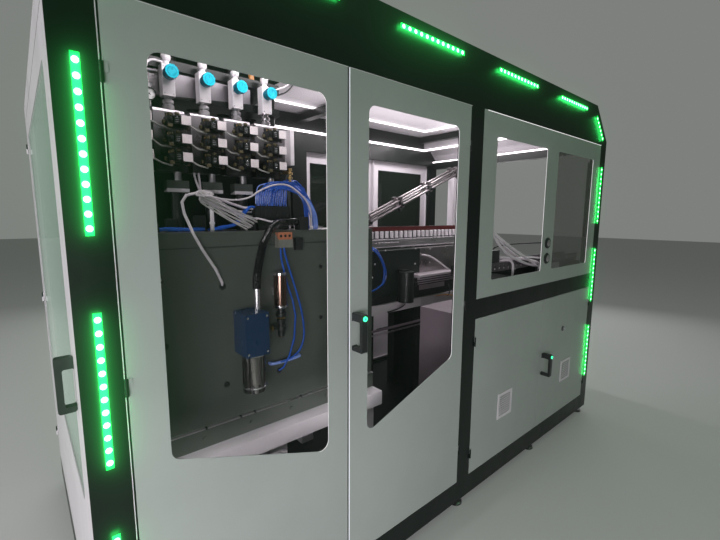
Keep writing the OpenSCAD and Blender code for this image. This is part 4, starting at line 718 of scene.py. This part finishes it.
# Front of the station plate: joint line, screws, connector ports, second blue tube
plate_screws = Piece("plate_screws", "dark")
plate_screws.block((-1464, PLATE_FRONT - 0.5, 1400), (-400, PLATE_FRONT + 0.1, 1402.5))
for x, z in ((-1132, 1260), (-1130, 885), (-910, 883), (-701, 1072), (-1335, 1075), (-699, 1296)):
    plate_screws.rod((x, PLATE_FRONT + 0.1, z), (x, PLATE_FRONT - 0.9, z), 12 if x < -900 else 9, 20)
for x in (-1400, -1217, -1085, -1027, -815, -640, -520):
    plate_screws.rod((x, -513.8, 745), (x, -515, 745), 5, 6)
    plate_screws.rod((x, -507, 746.8), (x, -507, 748.5), 5, 6)
for x in (-903, -884, -865):
    plate_screws.rod((x, -525.8, 1434), (x, -527.4, 1434), 5.5, 12)
plate_screws.block((-832, -520, 1374), (-800, PLATE_FRONT, 1424))
plate_screws.done()
plate_tube = Piece("plate_tubes", "blue_tube")
plate_tube.tube([(-884, -514, 1387.8), (-882, -520, 1358), (-868, -528, 1296), (-846, -532, 1220),
                 (-824, -534, 1140), (-812, -534, 1070), (-812, -534, 1010), (-828, -532, 966),
                 (-856, -530, 942), (-890, -526, 930), (-925, -520, 926), (-944, -510, 926),
                 (-948, PLATE_FRONT - 0.2, 926)], 4).done()
plate_link = Piece("plate_link", "light_blue")
plate_link.tube([(-818, PLATE_FRONT - 0.3, 930), (-820, -514, 930), (-836, -519, 929), (-880, -520, 926),
                 (-930, -520, 925), (-952, -514, 925), (-954, PLATE_FRONT - 0.3, 925)], 6).done()

# Trim of the exhaust valve, the silencer and the filter
FILTER_X, FILTER_Y = -919, -540
trim = Piece("exhaust_screws", "chrome")
for x in (-1087, -1013):
    for z in (1017, 1151):
        trim.rod((x, -605, z), (x, -607.5, z), 4.5, 8)
for z in (1290, 1162):
    trim.rod((FILTER_X, FILTER_Y, z - 5), (FILTER_X, FILTER_Y, z + 5), 27.5, 32)
for z in (1176, 1196, 1216, 1236):
    trim.rod((-1025, -555, z), (-1025, -555, z + 5), 13.6, 24)
trim.rod((-1048, -560, 1001), (-1048, -560, 1005), 47, 32)
trim.rod((-1048, -560, 877), (-1048, -560, 884), 46, 32)
trim.done()
fittings = Piece("filter_fittings", "valve")
for z, r in ((1120, 21), (1095, 17), (1068, 20), (1045, 15)):
    fittings.rod((FILTER_X, FILTER_Y, z), (FILTER_X, FILTER_Y, z + 16), r, 12)
fittings.rod((FILTER_X, FILTER_Y, 1078), (-955, FILTER_Y, 1078), 8)
fittings.done()
nuts = Piece("filter_nuts", "brass")
nuts.rod((FILTER_X, FILTER_Y, 1112), (FILTER_X, FILTER_Y, 1119), 18, 6)
nuts.rod((-955, FILTER_Y, 1078), (-962, FILTER_Y, 1078), 10, 6)
nuts.rod((FILTER_X, FILTER_Y, 1038), (FILTER_X, FILTER_Y, 1045), 12, 6)
nuts.done()

# Drive housing and oven front: screws, black band, light beam, lines, tubes and cables
bolts = Piece("housing_screws", "white_plastic")
for x, z in ((257, 1272), (571, 1272), (158, 1184), (568, 1157), (415, 1091), (135, 1094),
             (738, 1258), (1051, 1256), (738, 1155), (1057, 1153), (1320, 1256), (1320, 1153)):
    bolts.rod((x, 85, z), (x, 81.5, z), 6, 12)
bolts.done()
seams = Piece("housing_seams", "dark")
for lo, hi in (((621, HOUSING - 1, 896), (1391, HOUSING, 947.9)),
               ((931.5, HOUSING - 1, 948), (1391, HOUSING, 992)),
               ((61, 84.2, 1186), (400, 85.2, 1189)),
               ((61, 84.2, 1012), (330, 85.2, 1016)),
               ((120, 70, 905), (300, 85, 950)),
               ((470, -2, 985), (500, 22, 1065)),
               ((455, -30, 1010), (474, 10, 1040))):
    seams.block(lo, hi)
seams.done(1)
# Painted shadow: a dark line at the lower edge of each step of the deck front
step_shadows = Piece("deck_step_shadows", "dark")
for k in range(4):
    y, z = 58 - 26.25 * k, 993 + 23 * k
    step_shadows.block((508, y - 0.8, z), (931, y + 3, z + 7))
step_shadows.done()
beam = Piece("oven_beam", "deck")
beam.block((620.5, 63, 830), (1391, 94, 895))
for x in range(680, 1380, 140):
    beam.rod((x, 63, 862), (x, 60.5, 862), 5, 6)
beam.done(2)
lines = Piece("rail_lines", "white_plastic")
lines.block((61, 173.6, 1283), (1371, 175, 1288))
lines.block((61, 173.6, 1337), (1371, 175, 1342.8))
for x in range(251, 480, 32):
    lines.loft([Vector((x - 6, 174.6, 1317)), Vector((x + 6, 174.6, 1317))], [5, 5], 12)
lines.done()
tray_line = Piece("tray_line", "alloy")
tray_line.block((61, 48, 694), (620, 49.5, 699)).block((61, 46, 690), (620, 49.5, 692)).done()
drive_tubes = Piece("drive_tubes", "blue_tube")
drive_tubes.tube([(123, 174, 1300), (124, 140, 1299), (128, 90, 1290), (140, 62, 1272),
                  (176, 56, 1234), (206, 55, 1180), (220, 55, 1140), (217, 55, 1085),
                  (200, 56, 1045), (165, 58, 1022), (120, 66, 1005), (92, 84, 1000)], 6)
drive_tubes.tube([(150, 174, 1300), (152, 140, 1299), (158, 90, 1290), (170, 66, 1268),
                  (200, 60, 1220), (228, 59, 1168), (243, 60, 1117), (238, 62, 1075),
                  (218, 66, 1040), (196, 74, 1028), (188, HOUSING, 1026)], 5)
drive_tubes.done()
oven_cable = Piece("oven_cable", "white_plastic")
oven_cable.tube([(640, HOUSING, 1219), (650, 74, 1219), (690, 70, 1212), (747, 70, 1196),
                 (810, 70, 1166), (877, 70, 1130), (935, 70, 1096), (985, 72, 1066),
                 (1030, 76, 1034), (1044, 84, 1024)], 6).done()
motor_cables = Piece("motor_cables", "dark")
motor_cables.tube([(396, 12, 901), (392, 10, 890), (372, 14, 874), (338, 28, 856), (306, 44, 845),
                   (276, 56, 838), (262, 62.8, 836)], 5)
motor_cables.tube([(948, 62.5, 868), (948, 50, 880), (956, 48, 905), (968, 62, 940), (975, 83, 962)], 4)
motor_cables.done()
orange_cable = Piece("orange_cable", "amber")
orange_cable.tube([(800, 62.6, 884), (806, 54, 886), (840, 48, 888), (900, 46, 884), (960, 50, 874),
                   (1010, 58, 862), (1022, 62.8, 860)], 4).done()

# Dark centres of the lit buttons
for n in ("front", "cabinet"):
    lo, hi = (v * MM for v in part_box(f"{n}_button"))
    mid = (lo + hi) / 2
    eye = Piece(f"{n}_button_eye", "terminal_green", f"{n}_button_cap")
    eye.rod((mid.x, lo.y + 0.3, mid.z), (mid.x, lo.y - 0.5, mid.z), 3.6).done()

# Knobs under the chute clamps
CHUTE, SLOPE = Vector((150, 303, 1410)), math.radians(22)


def on_chute(x, y, z):
    """A place given along, across and above the sloping chute."""
    along = x * math.cos(SLOPE) - z * math.sin(SLOPE)
    up = x * math.sin(SLOPE) + z * math.cos(SLOPE)
    return CHUTE + Vector((along, y, up))


grips = Piece("chute_knobs", "dark")
collars = Piece("chute_bolts", "chrome")
for x in (133, 493, 853, 1246):
    grips.rod(on_chute(x, 6, -20), on_chute(x, 6, -50), 13, 12)
    grips.rod(on_chute(x, -46, 2), on_chute(x, -62, 2), 10, 8)
    for z in (30, 58):
        collars.rod(on_chute(x, -46, z), on_chute(x, -50, z), 6, 6)
grips.done()
collars.done()

# Cables and wires behind the left port
cables = Piece("port_cables", "lead")
cables.tube([(46, -752, 1516), (120, -750, 1490), (247, -745, 1428), (343, -745, 1383),
             (458, -738, 1336), (574, -736, 1291), (699, -730, 1246), (790, -728, 1207),
             (850, -722, 1165), (882, -720, 1100), (888, -718, 1040), (888, -716, BOX_TOP)], 8)
cables.tube([(46, -752, 1484), (120, -748, 1464), (257, -740, 1408), (323, -738, 1360),
             (422, -730, 1307), (521, -728, 1269), (672, -726, 1226), (790, -722, 1206),
             (880, -718, 1160), (915, -716, 1100), (922, -716, 1040), (922, -716, BOX_TOP)], 8)
cables.tube([(402, -668, 1278), (422, -686, 1279), (506, -702, 1269), (599, -712, 1262),
             (716, -714, 1246), (838, -716, 1219), (920, -716, 1170), (950, -716, 1100),
             (956, -716, 1040), (956, -716, BOX_TOP)], 8)
cables.tube([(430, -640, 1236), (455, -660, 1244), (480, -690, 1258), (505, -708, 1256),
             (524, -716, 1236), (530, -716, 1200), (527, -714, 1150), (520, -708, 1090),
             (515, -700, 1040), (514, -698, BOX_TOP)], 7)
cables.tube([(560, -655, 1230), (590, -668, 1248), (640, -696, 1262), (700, -726, 1264),
             (745, -748, 1261), (768, -769, 1259)], 5)
cables.done()
wires = Piece("port_wires", "dark")
wires.tube([(395, -660, 1322), (410, -664, 1334), (470, -674, 1345), (560, -690, 1349),
            (650, -712, 1351), (730, -740, 1352), (768, -769, 1353)], 4)
wires.block((318, -700, 1250.3), (402, -612, 1322))
wires.block((1386, -772, 1190), (1406, -764, 1888))
wires.done(2)

# Painted highlights on the edges of the front doors and the control panel, and painted shade in the gap
# between the doors
# White strips on each leaf's outer and top edges are painted highlights
for side, x in (("left", -1508), ("right", -785)):
    body = f"front_door_{side}_leaf"
    edge = Piece(f"{body}_edge", "white", body)
    edge.block((x, FRONT - 0.5, DOOR_LOW), (x + 2.2, FRONT + 0.1, DOOR_HIGH))
    edge.block((x, FRONT - 0.5, DOOR_HIGH - 2), (x + 719, FRONT + 0.1, DOOR_HIGH)).done()
# The seam glows as painted light through the gap between the doors
seam = Piece("front_door_seam", "seam_light", "front_door_right_leaf")
seam.block((-785, FRONT - 1, DOOR_LOW), (-781.8, FRONT - 0.4, DOOR_HIGH - 2)).done()
# A dark strip in the gap between the doors is painted shade
gap_shade = Piece("front_door_gap_shade", "dark", "front_door_left_leaf")
gap_shade.block((-791.6, FRONT - 1, DOOR_LOW), (-789, FRONT + 0.1, DOOR_HIGH - 2)).done()
# The glowing lip above the control panel is a painted highlight
panel_edge = Piece("panel_edge", "edge_light")
panel_edge.block((60, FRONT - 0.6, 2009.3), (1503, FRONT + 0.1, 2012.3)).done()

# Screws of the rear panel, the right end panel and the roof, and the roof's seams
heads = Piece("panel_screws", "steel")
sockets = Piece("panel_sockets", "dark")


def screw(at, d, proud=0.4):
    """Cap screw that stands proud of its panel in the direction d."""
    at, d = Vector(at), Vector(d)
    heads.rod(at - d * 0.5, at + d * proud, 7, 20)
    sockets.rod(at + d * (proud - 0.4), at + d * (proud + 0.1), 3.2, 6)


for x in [-1490 + 234.3 * k for k in range(7)]:
    for z in (168, 1998):
        screw((x, REAR, z), (0, 1, 0), 1.8)
for z in [473 + 305 * k for k in range(5)]:
    for x in (-1490, -84):
        screw((x, REAR, z), (0, 1, 0), 1.8)
for y in [-727 + 242.3 * k for k in range(7)]:
    for z in (167, 990):
        screw((RIGHT, y, z), (1, 0, 0))
for z in (441, 716):
    for y in (-727, 727):
        screw((RIGHT, y, z), (1, 0, 0))
for x in [-1420 + 258 * k for k in range(12)]:
    for y in (-722, 722):
        screw((x, y, ROOF), (0, 0, 1))
for x in (-466, 466):
    sockets.block((x - 0.8, -740, ROOF - 0.2), (x + 0.8, 740, ROOF + 0.2))
    for y in (-480, -240, 0, 240, 480):
        for dx in (-12, 12):
            screw((x + dx, y, ROOF), (0, 0, 1))
heads.done()
sockets.done()

# Inside the electrical cabinet: ducts, rails, modules and wires on the mounting plate
ducts = Piece("cabinet_ducts", "module_grey")
slots = Piece("cabinet_duct_slots", "dark")
for z in (222, 452, 682, 893):
    ducts.block((110, -530, z), (1425, MOUNT, z + 40))
    for x in range(128, 1410, 14):
        slots.block((x, -530.5, z + 6), (x + 5, -529.9, z + 34))
for x in (110, 1385):
    ducts.block((x, -528, 222), (x + 40, MOUNT, 933))
    for z in range(270, 890, 14):
        slots.block((x + 6, -528.5, z), (x + 34, -527.9, z + 5))
ducts.done(1)
rails = Piece("cabinet_rails", "alloy")
for z in (340, 570, 790):
    rails.block((160, -477, z), (1375, MOUNT, z + 35))
    for lip in (z, z + 31):
        rails.block((160, RAIL_FACE, lip), (1375, -476.5, lip + 4))
rails.done()
pale = Piece("cabinet_breakers", "white_plastic")
grey = Piece("cabinet_modules", "beige")
black = Piece("cabinet_contactors", "dark")
green = Piece("cabinet_terminals", "terminal_green")
steel = Piece("cabinet_supply", "alloy")
thin_black = Piece("cabinet_wires_black", "rubber")
thin_blue = Piece("cabinet_wires_blue", "blue_tube")
for i in range(22):  # breakers
    x = 170 + 18.6 * i
    mid = x + 9
    pale.block((x, -522, 765), (x + 17.6, RAIL_FACE, 852))
    pale.block((x, -541, 788), (x + 17.6, -522, 829))
    black.block((x + 5, -548, 806), (x + 12, -541, 818))
    for z in (772, 845):
        slots.rod((mid, -521.5, z), (mid, -523, z), 3.2, 10)
    (thin_blue if i % 3 == 2 else thin_black).wire(
        [(mid, -516, 766), (mid, -518, 754), (mid + i % 3, -514, 738), (mid, -506, 724),
         (mid, -500, 715)], 1.8)
    thin_black.wire([(mid, -516, 851), (mid, -518, 864), (mid - i % 2, -512, 880),
                     (mid, -505, 895)], 1.8)
for x0, x1 in ((620, 700), (720, 790)):  # power supplies
    steel.block((x0, -590, 752), (x1, RAIL_FACE, 877))
for x in range(626, 786, 8):
    if not 694 < x < 724:
        slots.block((x, -590.6, 800), (x + 3, -589.9, 860))
for x in (820, 880, 940, 1000):  # contactors
    black.block((x, -560, 765), (x + 46, RAIL_FACE, 850))
    black.block((x + 6, -568, 786), (x + 40, -560, 828))
    thin_black.wire([(x + 23, -520, 766), (x + 23, -524, 750), (x + 20, -515, 730),
                     (x + 20, -500, 716)], 2.4)
black.block((1080, -610, 735), (1210, RAIL_FACE, 884))
black.block((1094, -616, 790), (1196, -610, 870))
for x in range(1086, 1206, 9):
    steel.block((x, -602, 728), (x + 3, -490, 735))
for i in range(6):  # control modules
    x = 180 + 62 * i
    grey.block((x, -555, 535), (x + 58, RAIL_FACE, 640))
    grey.block((x + 3, -560, 545), (x + 55, -555, 600))
    green.block((x + 4, -566, 606), (x + 54, -555, 634))
    for j in range(7):
        wire_x = x + 8 + 7 * j
        thin_black.wire([(wire_x, -566, 620), (wire_x, -574, 626), (wire_x, -556, 656),
                         (x + 10 + 6 * j, -515, 684)], 1.2)
for i in range(26):  # relays
    x = 590 + 14.5 * i
    (pale if i % 5 else green).block((x, -550, 545), (x + 13.4, RAIL_FACE, 628))
    slots.block((x + 3, -550.6, 560), (x + 10, -549.9, 575))
    (thin_blue if i % 2 else thin_black).wire(
        [(x + 7, -530, 546), (x + 7, -534, 534), (x + 6, -520, 512), (x + 6, -502, 490)], 1.5)
for i in range(90):  # terminals
    x = 180 + 6.3 * i
    (green if i % 15 == 14 else grey).block((x, -520, 335), (x + 5.7, RAIL_FACE, 385))
    if i % 2:
        (thin_blue if i % 3 else thin_black).wire(
            [(x + 3, -506, 336), (x + 3, -510, 322), (x + 3, -508, 290), (x + 3, -500, 261)], 1.3)
for x in (800, 980, 1160):  # drives
    black.block((x, -620, 290), (x + 150, RAIL_FACE, 430))
    black.block((x + 14, -627, 330), (x + 136, -620, 420))
    slots.block((x + 44, -627.6, 372), (x + 106, -626.9, 404))
    for j in range(12):
        steel.block((x + 8 + 12 * j, -610, 430), (x + 11 + 12 * j, -490, 440))
for p, bevel in ((slots, 0), (pale, 0.6), (grey, 0.6), (black, 0.6), (green, 0), (steel, 0),
                 (thin_black, 0), (thin_blue, 0)):
    p.done(bevel)

# Floor and surroundings
scene = bpy.context.scene
scene.view_settings.view_transform = "Standard"

me = bpy.data.meshes.new("floor")
bm = bmesh.new()
bmesh.ops.create_grid(bm, x_segments=1, y_segments=1, size=30)
bm.to_mesh(me)
bm.free()
floor = bpy.data.objects.new("floor", me)
floor.location.z = -0.0005
scene.collection.objects.link(floor)
ground = Nodes("floor_pale")
ground.set(Base_Color=(0.40, 0.415, 0.395, 1), Roughness=0.8,
           Emission_Color=(0.92, 0.95, 0.92, 1), Emission_Strength=0.075)
me.materials.append(ground.mat)

# The world lights the machine weakly and looks brighter behind it
SKY_LIGHT, SKY_SEEN = 0.075, 0.26
world = bpy.data.worlds.new("world")
scene.world = world
world.use_nodes = True
sky = world.node_tree.nodes["Background"]
sky.inputs["Color"].default_value = (0.80, 0.83, 0.79, 1)
seen = world.node_tree.nodes.new("ShaderNodeLightPath")
level = world.node_tree.nodes.new("ShaderNodeMapRange")
level.inputs["To Min"].default_value = SKY_LIGHT
level.inputs["To Max"].default_value = SKY_SEEN
world.node_tree.links.new(seen.outputs["Is Camera Ray"], level.inputs["Value"])
world.node_tree.links.new(level.outputs["Result"], sky.inputs["Strength"])


def area(name, at, size, power, color=(1, 1, 1), to=None, turn=(0, 0, 0)):
    """Rectangular lamp that shines towards a point, or is turned from looking down."""
    d = bpy.data.lights.new(name, "AREA")
    d.shape = "RECTANGLE"
    d.size, d.size_y = size
    d.energy = power
    d.color = color
    o = bpy.data.objects.new(name, d)
    scene.collection.objects.link(o)
    o.location = at
    o.rotation_euler = (Vector(to) - Vector(at)).to_track_quat("-Z", "Y").to_euler() if to else turn
    o.visible_camera = False
    return o


key = area("key", (-2.9, -3.0, 1.0), (1.8, 0.9), 29, (1.0, 0.95, 1.0), to=(-1.15, -0.8, 0.15))
key.data.spread = math.radians(108)
area("fill", (2.5, -4.5, 1.2), (3.0, 2.0), 2, to=(0.8, -0.8, 0.4))
area("end_light", (-4.9, 0.3, 2.4), (3.4, 3.0), 84, to=(-1.6, 0.0, 1.3))
area("side_light", (5.0, 0.8, 2.4), (3.0, 3.0), 36, to=(1.6, 0.0, 1.0))
area("back_light", (0.8, 5.0, 2.8), (4.5, 3.0), 62, to=(0.0, 0.8, 1.0))
area("top_light", (0.0, 1.0, 7.5), (11.0, 11.0), 95)
area("front_green", (0.6, -2.4, 3.4), (3.6, 0.4), 6, (0.25, 1.0, 0.35), to=(0.6, -0.8, 1.7))

# Work light inside: under the roof, at the front sill, and back up at the roof
PINK = (1.0, 0.93, 0.97)
area("inner_front", (-0.94, -0.62, 2.17), (0.78, 0.05), 4.2, PINK, turn=(math.radians(30), 0, 0))
area("inner_rear", (0.40, 0.45, 2.18), (1.5, 0.05), 8, PINK)
area("inner_right", (1.10, 0.0, 2.18), (0.05, 1.2), 10, PINK)
low = area("inner_low", (-0.9, -0.74, 0.78), (0.9, 0.04), 0.4, PINK, to=(-0.9, -0.45, 0.55))
low.data.spread = math.radians(100)
area("roof_wash", (0.5, 0.1, 1.95), (1.7, 0.6), 8, PINK, turn=(math.pi, 0, 0))

# Glow of the light bars on the frame around them
for i, (x, z, dx, dz, n) in enumerate(bar_centres()):
    area(f"bar_glow_{i}", (x / MM, -0.818, z / MM), (0.0333 * n, 0.02), 0.04 * n, (0.03, 1.0, 0.15),
         turn=Matrix(((dx, -dz, 0), (0, 0, -1), (dz, dx, 0))).to_euler())

# Soft bloom around the lit lamps
scene.use_nodes = True
after = scene.node_tree
after.nodes.clear()
layers = after.nodes.new("CompositorNodeRLayers")
bloom = after.nodes.new("CompositorNodeGlare")
bloom.glare_type = "BLOOM"
for k, v in (("Threshold", 1.0), ("Strength", 0.35), ("Size", 0.35)):
    bloom.inputs[k].default_value = v
result = after.nodes.new("CompositorNodeComposite")
after.links.new(layers.outputs["Image"], bloom.inputs["Image"])
after.links.new(bloom.outputs["Image"], result.inputs["Image"])
